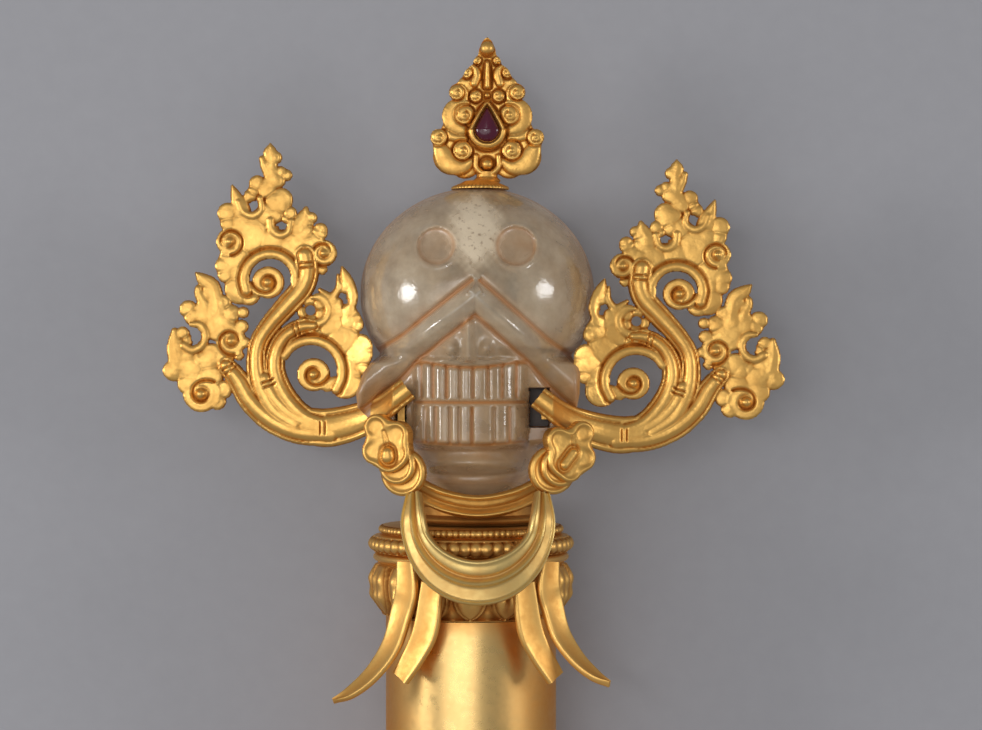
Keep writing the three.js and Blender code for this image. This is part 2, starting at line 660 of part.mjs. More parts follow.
// A knot of ribbon: a lobed flower plate with a bud, over the rims of two loops.
function knot(side) {
  const lobes = [[-1.8, 5.7, 2.6], [-2.9, 1.5, 2.6], [1.5, 2.9, 2.5], [-0.4, -0.9, 2.8]];
  const loops = [[1.8, -3.4, 4.3, -1.9, 1.2], [1, -2.4, 3.4, -0.9, 1.1]];
  const whole = joined([
    ...lobes.map(([x, y, r]) => solid(dome(x, y, r, 0, 0.9, 8, 4))),
    ...loops.map(([x, y, r, z, height]) => solid(disc(x, y, r, z, z + height, 10))),
    solid(disc(-0.6, 1.4, 2.2, -1.9, 0.2, 8)),
    solid(dome(0, 0, 1.4, 0.3, 1.5, 8, 4)),
  ]);
  const made = geometryOf(whole);
  made.scale(-side, 1, 1);
  const turned = side > 0 ? flipped(made) : made;
  return turned.rotateY(side * knotTurn * degrees).translate(scarfShift + side * knotX, knotY, knotZ);
}

// The flame finial, symmetrical about its stem, in its own plane with y = 0 at the foot of the stem.
const finialLobes = [
  [0, 24.6, 1.5], [0, 21.6, 2.6], [0, 18.4, 3.8], [2.2, 16.6, 3], [0, 14, 5.4], [4.6, 12.8, 3.4], [0, 8, 6.6],
  [5.2, 8.8, 3.4], [6.6, 4.6, 3.4], [4, 3.6, 2.9], [0, 3.2, 2.6], [8, 6.4, 1.8],
];
const finialCurls = [[4.6, 6, 1.9], [9.2, 8.2, 1.6], [4.2, 12.6, 1.7], [5.9, 16.8, 1.6], [1.9, 16, 1.1], [2.9, 19.8, 1.4]];

function finial() {
  const half = finialThickness / 2;
  const both = (list) => list.flatMap(([x, y, r]) => (x ? [[x, y, r], [-x, y, r]] : [[x, y, r]]));
  const tip = stroke([[0, 22, 2], [0, 25, 1.2], [0, finialHeight, 0.15]], -half * 0.6, half * 0.6);
  const thin = half * 0.7;
  const lobes = plate(both(finialLobes).map(([x, y, r]) => solid(disc(x, y, r, -thin, thin))), -thin, thin);
  const curls = both(finialCurls).map(([x, y, r]) => solid(disc(x, y, r, 0, half)));
  const bezel = disc(0, 9.6, gemWidth / 2 + 1.2, 0, half + 0.5, 12).scale(1, 1.12, 1).translate(0, -1, 0);
  const bud = dome(0, 3.2, 1.3, half * 0.7, 1);
  const stem = new THREE.CylinderGeometry(2.1, 2.3, 2.2, 14).translate(0, 0.2, 0);
  const gemHole = gemOutline(gemWidth / 2 + seatGap, gemHeight / 2 + seatGap);
  const socket = new THREE.ExtrudeGeometry(gemHole, { depth: 4, bevelEnabled: false, curveSegments: 5 });
  socket.translate(0, 9.6, half - 0.6);
  const body = joined([lobes, ...curls, solid(tip), solid(bezel), solid(bud), solid(stem)]).subtract(solid(socket));
  return geometryOf(body);
}

// A teardrop with its point towards the finial's tip.
function gemOutline(halfWidth, halfHeight) {
  const drop = new THREE.Shape();
  drop.moveTo(0, halfHeight);
  drop.quadraticCurveTo(halfWidth * 0.55, halfHeight * 0.55, halfWidth, -halfHeight * 0.2);
  drop.bezierCurveTo(halfWidth, -halfHeight * 1.27, -halfWidth, -halfHeight * 1.27, -halfWidth, -halfHeight * 0.2);
  drop.quadraticCurveTo(-halfWidth * 0.55, halfHeight * 0.55, 0, halfHeight);
  return drop;
}

function gem() {
  const cut = new THREE.ExtrudeGeometry(gemOutline(gemWidth / 2 - 0.5, gemHeight / 2 - 0.6), {
    depth: 0.5, bevelThickness: gemRise - 0.4, bevelSize: 0.5, bevelSegments: 1, curveSegments: 5,
  });
  return cut.translate(0, 9.6, finialThickness / 2 + 0.25);
}

// The domed foot under the finial, hollowed to sit over the crown with a small gap.
function crownFoot() {
  const seat = craniumHalfHeight + seatGap;
  const dish = lathe([[0, seat - 0.9], [capRadius, seat - 0.9], [capRadius, seat - 0.3], [2.6, seat + capHeight], [0, seat + capHeight]], 20);
  const crown = new THREE.SphereGeometry(1, 16, 12);
  crown.scale(craniumHalfWidth + seatGap, seat, axisHeight + seatGap);
  return { dish, crown };
}

const sceptre = new THREE.Group();
sceptre.position.z = axisHeight;

const head = new THREE.Group();
head.position.x = headShift;
sceptre.add(head);
head.add(named("crystal_skull", crystalSkull(), crystal));

sceptre.add(named("staff_shaft", shaft(), paleGilt));
sceptre.add(named("lotus_capital", capital(), gilt));
sceptre.add(named("pommel", pommel(), gilt));
sceptre.add(named("scarf_crescent", crescent(), paleGilt));
sceptre.add(named("neck_band", neckBand(), gilt));

const cup = named("neck_cup", neckCup(), gilt);
cup.position.x = headShift;
sceptre.add(cup);

sceptre.add(named("side_scroll_left", wing(-1, wingLeftStretch, 0, 0), gilt));
sceptre.add(named("side_scroll_right", wing(1, wingRightStretch, wingRightDrop, wingRightForward), gilt));

for (const [word, side, stretch] of [["left", -1, 1], ["right", 1, 0.86]]) {
  sceptre.add(named(`knot_${word}`, knot(side), gilt));
  sceptre.add(named(`ribbon_end_outer_${word}`, ribbonEnd(outerEnd, side, stretch), gilt));
  sceptre.add(named(`ribbon_end_inner_${word}`, ribbonEnd(innerEnd, side, 1), gilt));
}

const stemFootY = craniumHalfHeight + seatGap + capHeight;
const { dish, crown } = crownFoot();
dish.translate(headShift + 0.5, 0, 0);
crown.translate(headShift, 0, 0);
const flame = finial();
flame.translate(finialShift, stemFootY, 0);
sceptre.add(named("flame_finial", geometryOf(solid(flame).add(solid(dish).subtract(solid(crown)))), gilt));
sceptre.add(named("garnet", gem().translate(finialShift, stemFootY, 0), garnet));

export default sceptre;
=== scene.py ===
"""A gilt sceptre with a rock-crystal skull, lying on its back under soft studio light.

Every piece is worked out in millimetres on the staff's own axis: x across, y along the staff towards
the finial, z up out of the face, with zero on the axis. scene_points() turns that into Blender's metres.
The axis height, the shaft, the pommel and the capital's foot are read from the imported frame.
"""

import bpy
import numpy as np
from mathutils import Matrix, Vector


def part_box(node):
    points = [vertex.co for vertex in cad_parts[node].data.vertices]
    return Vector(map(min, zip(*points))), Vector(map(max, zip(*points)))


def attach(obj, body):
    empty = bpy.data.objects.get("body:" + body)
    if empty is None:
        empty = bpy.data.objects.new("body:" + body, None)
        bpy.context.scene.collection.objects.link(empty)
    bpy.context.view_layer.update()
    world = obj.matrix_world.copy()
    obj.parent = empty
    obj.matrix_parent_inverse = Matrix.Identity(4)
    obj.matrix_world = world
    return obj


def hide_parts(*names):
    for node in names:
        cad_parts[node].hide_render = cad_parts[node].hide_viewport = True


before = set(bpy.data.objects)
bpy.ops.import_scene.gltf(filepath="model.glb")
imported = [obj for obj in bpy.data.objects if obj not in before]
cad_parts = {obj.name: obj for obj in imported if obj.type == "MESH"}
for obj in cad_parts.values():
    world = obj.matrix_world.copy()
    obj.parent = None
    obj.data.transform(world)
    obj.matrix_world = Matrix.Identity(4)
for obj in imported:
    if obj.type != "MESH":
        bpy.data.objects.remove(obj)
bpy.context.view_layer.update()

METRE = 0.001


def box_mm(node):
    """The lowest and highest corners of a frame node, in millimetres."""
    return [np.array([float(v) for v in corner]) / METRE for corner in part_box(node)]


shaft_low, shaft_high = box_mm("staff_shaft")
pommel_low, pommel_high = box_mm("pommel")

# Sizes that the frame gives.
AXIS_HEIGHT = float(shaft_low[2] + shaft_high[2]) / 2
SHAFT_RADIUS = float(shaft_high[0] - shaft_low[0]) / 2
SHAFT_TOP = float(shaft_high[1])
SHAFT_BOTTOM = float(shaft_low[1])
POMMEL_BOTTOM = float(pommel_low[1])

# Sizes read from the photograph, at 170 of its pixels to the shaft's width.
HEAD_X = 1.2
CRANIUM = (22.0, 20.1, 19.5, 20.35)
CHIN_Y = -39.5
WING_ROOT = (14.55, -19.0)
WING_CENTRE_X = 0.45
WING_PLANE_Z = 3.5
WING_ROOT_RISE = 10.4
WING_RISE_REACH = 5.6
WING_RIGHT = {"stretch": 0.965, "drop": 1.5, "forward": 1.3, "tongue_low": -4.2}
WING_LEFT = {"stretch": 1.0, "drop": 0.0, "forward": 0.0, "tongue_low": -5.2}
LEAF_HALF = 0.9
BOUGH_HALF = 1.5
FINIAL_FOOT = (3.3, 21.4)
FINIAL_HALF = 1.6
PETAL_RADIUS = 19.0
BEAD_RING_RADIUS = 19.6
SCARF_X = 1.4
RIBBON_SEAT = 19.75
RIBBON_THICKNESS = 1.3


def scene_points(points):
    """Staff millimetres to Blender metres: raised by the axis height and scaled."""
    return (np.asarray(points, float) + [0, 0, AXIS_HEIGHT]) * METRE


def ease(low, high, value):
    """A smooth step from 0 at low to 1 at high: 3t^2 - 2t^3."""
    t = np.clip((value - low) / (high - low), 0, 1)
    return t * t * (3 - 2 * t)


def bump(value, width):
    """A bell of height 1 at zero: e to the minus (value / width) squared."""
    return np.exp(-((value / width) ** 2))


def dome(value):
    """A half circle's height: 1 where value is 0, and 0 where it is 1 or more."""
    return np.sqrt(np.clip(1 - value**2, 0, 1))


def quarter_round(depth, radius):
    """A rounded edge's height: from 0 at no depth to 1 at a depth of one radius."""
    return dome(1 - np.clip(depth / radius, 0, 1))


def smooth_min(a, b, reach):
    """The lesser of two fields, with their corner rounded within reach."""
    h = np.clip(0.5 + 0.5 * (b - a) / reach, 0, 1)
    return b + (a - b) * h - reach * h * (1 - h)


def smooth_max(a, b, reach):
    """The greater of two fields, with their corner rounded within reach."""
    return -smooth_min(-a, -b, reach)


def blurred(values, inside, rounds):
    """Each value averaged with its neighbours inside the piece, over and over."""
    total = np.where(inside, values, 0.0)
    weight = inside.astype(float)
    for _ in range(rounds):
        for axis in (0, 1):
            total = total + 0.5 * (np.roll(total, 1, axis) + np.roll(total, -1, axis))
            weight = weight + 0.5 * (np.roll(weight, 1, axis) + np.roll(weight, -1, axis))
        total /= 4
        weight /= 4
    return total / np.maximum(weight, 1e-6)


# Meshes.


def add_mesh(name, points, faces, material, hollow=None, sharp=40, moves_with="root"):
    """A mesh from staff millimetres and lists of faces, with how far each point lies in a hollow."""
    mesh = bpy.data.meshes.new(name)
    mesh.vertices.add(len(points))
    mesh.vertices.foreach_set("co", scene_points(points).astype(np.float32).ravel())
    faces = [np.asarray(f, np.int32) for f in faces if len(f)]
    sizes = np.concatenate([np.full(len(f), f.shape[1], np.int32) for f in faces])
    mesh.loops.add(int(sizes.sum()))
    mesh.loops.foreach_set("vertex_index", np.concatenate([f.ravel() for f in faces]))
    mesh.polygons.add(len(sizes))
    mesh.polygons.foreach_set("loop_start", np.concatenate([[0], np.cumsum(sizes)[:-1]]).astype(np.int32))
    mesh.update(calc_edges=True)
    mesh.validate()
    if hollow is not None:
        layer = mesh.attributes.new("hollow", "FLOAT", "POINT")
        layer.data.foreach_set("value", np.clip(hollow, 0, 1).astype(np.float32))
    mesh.materials.append(material)
    mesh.shade_smooth()
    mesh.set_sharp_from_angle(angle=np.radians(sharp))
    piece = bpy.data.objects.new(name, mesh)
    bpy.context.scene.collection.objects.link(piece)
    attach(piece, moves_with)
    return piece


def cell_corners(grid):
    """The four corners of every cell of a grid, in order round the cell."""
    return grid[:-1, :-1], grid[:-1, 1:], grid[1:, 1:], grid[1:, :-1]


def grid_faces(rows, columns):
    """The quads of a grid of points that closes round its columns."""
    index = np.arange(rows * columns).reshape(rows, columns)
    index = np.hstack([index, index[:, :1]])
    return np.stack([c.ravel() for c in cell_corners(index)], axis=1)


def capped_tube(points):
    """The points and faces of a grid closed round its columns, with a fan of triangles on each end."""
    rows, columns = points.shape[:2]
    flat = points.reshape(-1, 3)
    ends = np.array([points[0].mean(0), points[-1].mean(0)])
    first = np.arange(columns)
    following = np.roll(first, -1)
    last = (rows - 1) * columns
    low, high = len(flat), len(flat) + 1
    fans = np.vstack(
        [
            np.stack([following, first, np.full(columns, low)], axis=1),
            np.stack([first + last, following + last, np.full(columns, high)], axis=1),
        ]
    )
    return np.vstack([flat, ends]), [grid_faces(rows, columns), fans]


def turned_round(faces):
    """The same faces, seen from their other side."""
    return [np.asarray(f)[:, ::-1] for f in faces]


def joined(parts):
    """Several (points, faces, hollow) as one."""
    points, faces, hollows, start = [], [], [], 0
    for part_points, part_faces, part_hollow in parts:
        points.append(part_points)
        faces += [np.asarray(f) + start for f in part_faces]
        hollows.append(np.broadcast_to(part_hollow, len(part_points)))
        start += len(part_points)
    return np.vstack(points), faces, np.concatenate(hollows)


def plate(xs, ys, field, front, back, rounds=10, depth=0.25):
    """A plate that covers the places where field is below zero, between two heights.

    The grid's points that lie within about half a step of the outline are moved onto it along the
    field's slope, and a wall joins front and back round every edge. The hollow value is how far the
    front lies below its own average over the neighbourhood.
    """
    step = xs[1] - xs[0]
    x, y = np.meshgrid(xs, ys)
    slope_y, slope_x = np.gradient(field, step)
    steep = np.maximum(np.hypot(slope_x, slope_y), 0.35)
    away = field / steep
    near = np.abs(away) < 0.6 * step
    x = x - np.where(near, away * slope_x / steep, 0)
    y = y - np.where(near, away * slope_y / steep, 0)
    inside = (field <= 0) | near
    reached = np.minimum.reduce(cell_corners(field)) < -0.3 * step
    kept = np.logical_and.reduce(cell_corners(inside)) & reached
    index = np.arange(x.size).reshape(x.shape)
    quads = np.stack([c[kept] for c in cell_corners(index)], axis=1)
    used, flat = np.unique(quads, return_inverse=True)
    quads = flat.reshape(quads.shape)
    count = len(used)
    lows = blurred(front, inside, rounds) - front
    hollow = np.clip(lows.ravel()[used] / depth, 0, 1)
    place = np.stack([x.ravel()[used], y.ravel()[used]], axis=1)
    points = np.vstack(
        [np.column_stack([place, front.ravel()[used]]), np.column_stack([place, back.ravel()[used]])]
    )
    starts = quads.ravel()
    ends = np.roll(quads, -1, axis=1).ravel()
    open_edge = ~np.isin(starts * count + ends, ends * count + starts)
    a, b = starts[open_edge], ends[open_edge]
    walls = np.stack([b, a, a + count, b + count], axis=1)
    return points, [quads, quads[:, ::-1] + count, walls], np.concatenate([hollow, hollow * 0])


def slab(low, high):
    """A plain box between two corners."""
    (x0, y0, z0), (x1, y1, z1) = low, high
    ring = np.array([[x0, y0], [x1, y0], [x1, y1], [x0, y1]])
    points = np.vstack([np.column_stack([ring, np.full(4, z)]) for z in (z0, z1)])
    faces = [[3, 2, 1, 0], [4, 5, 6, 7], [0, 1, 5, 4], [1, 2, 6, 5], [2, 3, 7, 6], [3, 0, 4, 7]]
    return points, [np.array(faces)], 0.0


# Shader maths.


class Value:
    """A shader socket that takes part in sums, so that an expression adds its Math nodes."""

    def __init__(self, shader, socket):
        self.shader = shader
        self.socket = socket

    def _math(self, operation, a, b, clamp=False):
        """One Math node on two values."""
        settings = {"operation": operation, "use_clamp": clamp}
        return self.shader.node("ShaderNodeMath", settings, {0: a, 1: b})

    def __add__(self, other):
        return self._math("ADD", self, other)

    def __sub__(self, other):
        return self._math("SUBTRACT", self, other)

    def __rsub__(self, other):
        return self._math("SUBTRACT", other, self)

    def __mul__(self, other):
        return self._math("MULTIPLY", self, other)

    __radd__ = __add__
    __rmul__ = __mul__

    def clamped(self):
        """The value held between 0 and 1."""
        return self._math("ADD", self, 0.0, clamp=True)


class Shader:
    """A material's node tree, built by expressions and by one method for every other node."""

    def __init__(self, name):
        self.material = bpy.data.materials.new(name)
        self.material.use_nodes = True
        self.tree = self.material.node_tree
        self.tree.nodes.clear()

    def node(self, kind, settings=None, sockets=None, out=0):
        """A node with its settings, its sockets set or linked, and the output to go on with."""
        made = self.tree.nodes.new(kind)
        for key, value in (settings or {}).items():
            setattr(made, key, value)
        for key, value in (sockets or {}).items():
            if isinstance(value, Value):
                self.tree.links.new(value.socket, made.inputs[key])
            else:
                made.inputs[key].default_value = value
        return Value(self, made.outputs[out])

    def place(self):
        """The place on the piece, in the piece's own coordinates."""
        return self.node("ShaderNodeTexCoord", out="Object")

    def mottle(self, scale, detail=3.0, roughness=0.55):
        """Noise from 0 to 1 with scale features to the metre."""
        sockets = {"Vector": self.place(), "Scale": scale, "Detail": detail, "Roughness": roughness}
        return self.node("ShaderNodeTexNoise", None, sockets)

    def attribute(self, name):
        """A number stored on the mesh."""
        return self.node("ShaderNodeAttribute", {"attribute_name": name}, out="Fac")

    def mix(self, factor, a, b):
        """Colour a where factor is 0, colour b where it is 1."""
        return self.node("ShaderNodeMix", {"data_type": "RGBA"}, {0: factor, 6: a, 7: b}, out=2)

    def relief(self, height, strength, distance):
        """A normal that leans as if the surface had this height."""
        sockets = {"Height": height, "Strength": strength, "Distance": distance}
        return self.node("ShaderNodeBump", None, sockets)

    def surface(self, closure):
        """The finished material."""
        self.tree.links.new(closure.socket, self.tree.nodes.new("ShaderNodeOutputMaterial").inputs[0])
        return self.material


def gilding(name, light, deep, roughness, patina, dents):
    """Fire gilding: light on the open surfaces and deep in the hollows, with a fine dented skin. The deep
    colour is partly patina and partly painted shade, in hollows and recesses and on the shaft's shaded
    flanks.

    Patina is how far the noise shifts it from one colour to the other.
    """
    shader = Shader(name)
    broad = shader.mottle(130.0, 5.0, 0.62)
    fine = shader.mottle(800.0, 3.0)
    hollow = shader.attribute("hollow")
    # Mixes towards the deep colour where the hollow attribute is high: partly patina, partly painted shade.
    dark = (hollow + (broad - 0.5) * patina * 2 + (fine - 0.5) * patina * 0.6).clamped()
    sockets = {
        "Base Color": shader.mix(dark, light, deep),
        "Metallic": 1.0,
        "Roughness": (hollow * 0.22 + (broad - 0.5) * 0.25 + (fine - 0.5) * 0.2 + roughness).clamped(),
        "Normal": shader.relief(fine * 0.6 + broad, dents, 0.0004),
    }
    return shader.surface(shader.node("ShaderNodeBsdfPrincipled", None, sockets))


def rock_crystal():
    """Cloudy rock crystal: tan glass mixed with a milky body, a frosted brow and soil in the cuts.

    The soil-and-shade attribute runs to 0.9 in the cuts and to 1 inside the two slots, which are painted
    nearly black as shade; it also carries painted shade in the eyes and along the outline.
    """
    shader = Shader("rock_crystal")
    soil_and_shade = shader.attribute("hollow")
    frost = shader.attribute("frost")
    # Painted shade: where the attribute reaches 1, in the two slots, the crystal turns nearly black.
    slot_shade = ((soil_and_shade - 0.93) * 20.0).clamped()
    veil = shader.mottle(55.0, 5.0, 0.6)
    streaks = shader.mottle(190.0, 4.0, 0.6)
    specks = shader.mottle(1100.0, 2.0)
    up = shader.node("ShaderNodeSeparateXYZ", None, {0: shader.place()}, out=1)
    jaw = ((up + 0.006) * -70.0).clamped()
    clear_tint = shader.mix((veil * 2 - 0.5).clamped(), (1, 0.9, 0.71, 1), (0.93, 0.73, 0.45, 1))
    blots = ((shader.mottle(85.0, 3.0, 0.5) - 0.6) * 7.0).clamped() * (specks + 0.2)
    clear_tint = shader.mix(jaw, clear_tint, (1, 0.76, 0.45, 1))
    # Brown stain in the cuts; near black in the slots, as painted shade.
    stain_and_slot_shade = shader.mix(slot_shade, (0.42, 0.155, 0.025, 1), (0.05, 0.03, 0.02, 1))
    dirt_and_shade = (soil_and_shade + blots * 0.5).clamped()
    clear = shader.node(
        "ShaderNodeBsdfPrincipled",
        None,
        {
            "Base Color": shader.mix(dirt_and_shade, clear_tint, stain_and_slot_shade),
            "Roughness": (soil_and_shade * 0.3 + frost * 0.25 + streaks * 0.12 + 0.05).clamped(),
            "IOR": 1.545,
            "Specular IOR Level": 0.85,
            "Transmission Weight": 1.0,
            "Normal": shader.relief(specks + veil * 2, 0.1, 0.0003),
        },
    )
    pock = (specks * 5 - 2.9).clamped()
    frost_tint = shader.mix(pock, (0.85, 0.69, 0.48, 1), (0.3, 0.18, 0.09, 1))
    body_tint = shader.mix((veil * 4.0 - 1.5).clamped(), (0.56, 0.38, 0.21, 1), (0.93, 0.76, 0.54, 1))
    body_tint = shader.mix(jaw * 0.75, body_tint, (0.62, 0.39, 0.19, 1))
    body_tint = shader.mix(frost, body_tint, frost_tint)
    milky = shader.node(
        "ShaderNodeBsdfPrincipled",
        None,
        {
            "Base Color": shader.mix(dirt_and_shade, body_tint, stain_and_slot_shade),
            "Roughness": (soil_and_shade * 0.4 + frost * 0.2 + streaks * 0.2 + 0.06).clamped(),
            "Specular IOR Level": 0.85,
            "Normal": shader.relief(specks + streaks, 0.15, 0.0003),
        },
    )
    share = (soil_and_shade * 0.6 + slot_shade + frost * 0.4 + streaks * 0.5 + 0.2).clamped()
    closure = shader.node("ShaderNodeMixShader", None, {0: share, 1: clear, 2: milky})
    return shader.surface(closure)


def garnet_glass():
    """Deep red glass, a little clouded and only slightly clear."""
    shader = Shader("garnet")
    cloud = shader.mottle(500.0)
    tint = shader.mix(cloud, (0.13, 0.008, 0.035, 1), (0.05, 0.002, 0.012, 1))
    sockets = {"Base Color": tint, "Roughness": 0.16, "Transmission Weight": 0.2, "IOR": 1.5}
    return shader.surface(shader.node("ShaderNodeBsdfPrincipled", None, sockets))


GILT = gilding("gilt", (0.78, 0.45, 0.122, 1), (0.46, 0.18, 0.027, 1), 0.43, 0.52, 0.3)
GILT_WORN = gilding("gilt_worn", (0.78, 0.45, 0.13, 1), (0.38, 0.15, 0.03, 1), 0.45, 0.45, 0.22)
PALE_GILT = gilding("gilt_pale", (0.74, 0.53, 0.2, 1), (0.56, 0.22, 0.035, 1), 0.42, 0.45, 0.12)
RIBBON_GILT = gilding("gilt_ribbon", (0.9, 0.54, 0.16, 1), (0.66, 0.28, 0.05, 1), 0.46, 0.5, 0.12)
SHAFT_GILT = gilding("gilt_shaft", (0.9, 0.6, 0.23, 1), (0.7, 0.3, 0.06, 1), 0.28, 0.28, 0.03)
CRYSTAL = rock_crystal()
GARNET = garnet_glass()


# Strokes and other flat fields, in millimetres.


def mirrored_ends(points):
    """Points with one more past each end, so that a curve can run through all the given ones."""
    p = np.asarray(points, float)
    return np.vstack([2 * p[0] - p[1], p, 2 * p[-1] - p[-2]])


def curve_between(a, b, c, d, t):
    """The place at share t of the way from b to c, on a Catmull-Rom curve through all four."""
    return b + 0.5 * t * (c - a + t * (2 * a - 5 * b + 4 * c - d + t * (3 * (b - c) + d - a)))


def smooth_route(points, steps):
    """A curve through points [x, y, half-width], with the same number of steps between each two."""
    p = mirrored_ends(points)
    t = np.linspace(0, 1, steps, endpoint=False)[:, None]
    spans = [curve_between(a, b, c, d, t) for a, b, c, d in zip(p[:-3], p[1:-2], p[2:-1], p[3:])]
    return np.vstack([*spans, p[-2:-1]])


def stroke(x, y, points, steps=4):
    """A tapered stroke's field: distance from its edge, place across from -1 to 1, and place along."""
    route = smooth_route(points, steps)
    distance = np.full(x.shape, 1e3)
    across = np.zeros(x.shape)
    along = np.zeros(x.shape)
    count = len(route) - 1
    for i, (a, b) in enumerate(zip(route[:-1], route[1:])):
        dx, dy, dw = b - a
        t = np.clip(((x - a[0]) * dx + (y - a[1]) * dy) / max(dx * dx + dy * dy, 1e-9), 0, 1)
        off_x, off_y = x - a[0] - t * dx, y - a[1] - t * dy
        away = np.hypot(off_x, off_y)
        width = a[2] + t * dw
        nearer = away - width < distance
        distance = np.where(nearer, away - width, distance)
        across = np.where(nearer, np.sign(dx * off_y - dy * off_x) * away / np.maximum(width, 0.05), across)
        along = np.where(nearer, (i + t) / count, along)
    return distance, across, along


def disc(x, y, lobe):
    """The distance from the edge of a disc [x, y, radius], below zero inside it."""
    return np.hypot(x - lobe[0], y - lobe[1]) - lobe[2]


def arc_points(centre, radius, half_width, start, stop, count=9):
    """Points round a circle, with angles in degrees from the side that faces the skull."""
    angle = np.radians(np.linspace(start, stop, count))
    x = centre[0] - radius * np.cos(angle)
    y = centre[1] + radius * np.sin(angle)
    return np.column_stack([x, y, np.full(count, half_width)])


def snail(x, y, curl, hand, start):
    """The height of a rolled-up leaf end: a rounded band that winds out from a central bead.

    The groove's radius grows with the angle, from 0.38 of the curl's radius, by 0.6 of it a turn.
    """
    cx, cy, radius = curl
    reach = np.hypot(x - cx, y - cy)
    turn = np.mod(hand * np.arctan2(y - cy, x - cx) / (2 * np.pi) - start, 1.0)
    groove = 0.38 + 0.6 * turn
    beyond = reach / radius - groove
    outside = quarter_round(beyond, 0.3)
    inside = quarter_round(-beyond, 0.3) * ease(0.33, 0.5, groove)
    height = 0.36 * np.where(beyond > 0, outside, inside)
    bead = 0.33 * radius
    ball = 1.05 * np.sqrt(np.clip(bead**2 - reach**2, 0, None))
    return np.maximum(height, ball), reach - radius


def rolled_end(x, y, curl):
    """The relief of a leaf's rolled end, and the distance from its edge.

    One groove winds out to the edge in a turn: its radius is 0.38 of the curl's, plus 0.62 of it times
    the share of a turn to the power of spread. The leaf inside the groove rises in a rounded lip.
    """
    cx, cy, radius, hand, start, spread = curl
    reach = np.hypot(x - cx, y - cy)
    turn = np.mod(hand * np.arctan2(y - cy, x - cx) / (2 * np.pi) - start, 1.0)
    beyond = reach - radius * (0.38 + 0.62 * turn**spread)
    lip = 0.15 + 0.3 * (1 - ease(0.3, 1.0, turn))
    height = np.where(beyond < 0, lip * quarter_round(-beyond, 0.5), 0.15 * (1 - ease(0.0, 0.3, turn)))
    height -= 0.45 * bump(beyond, 0.3) * ease(0.1, 0.35, turn)
    height -= 0.3 * bump(reach - 0.37 * radius, 0.12 * radius)
    bead = 0.28 * radius
    ball = 1.05 * np.sqrt(np.clip(bead**2 - reach**2, 0, None)) - 0.1
    return np.where(reach < bead, np.maximum(height, ball), height), reach - radius


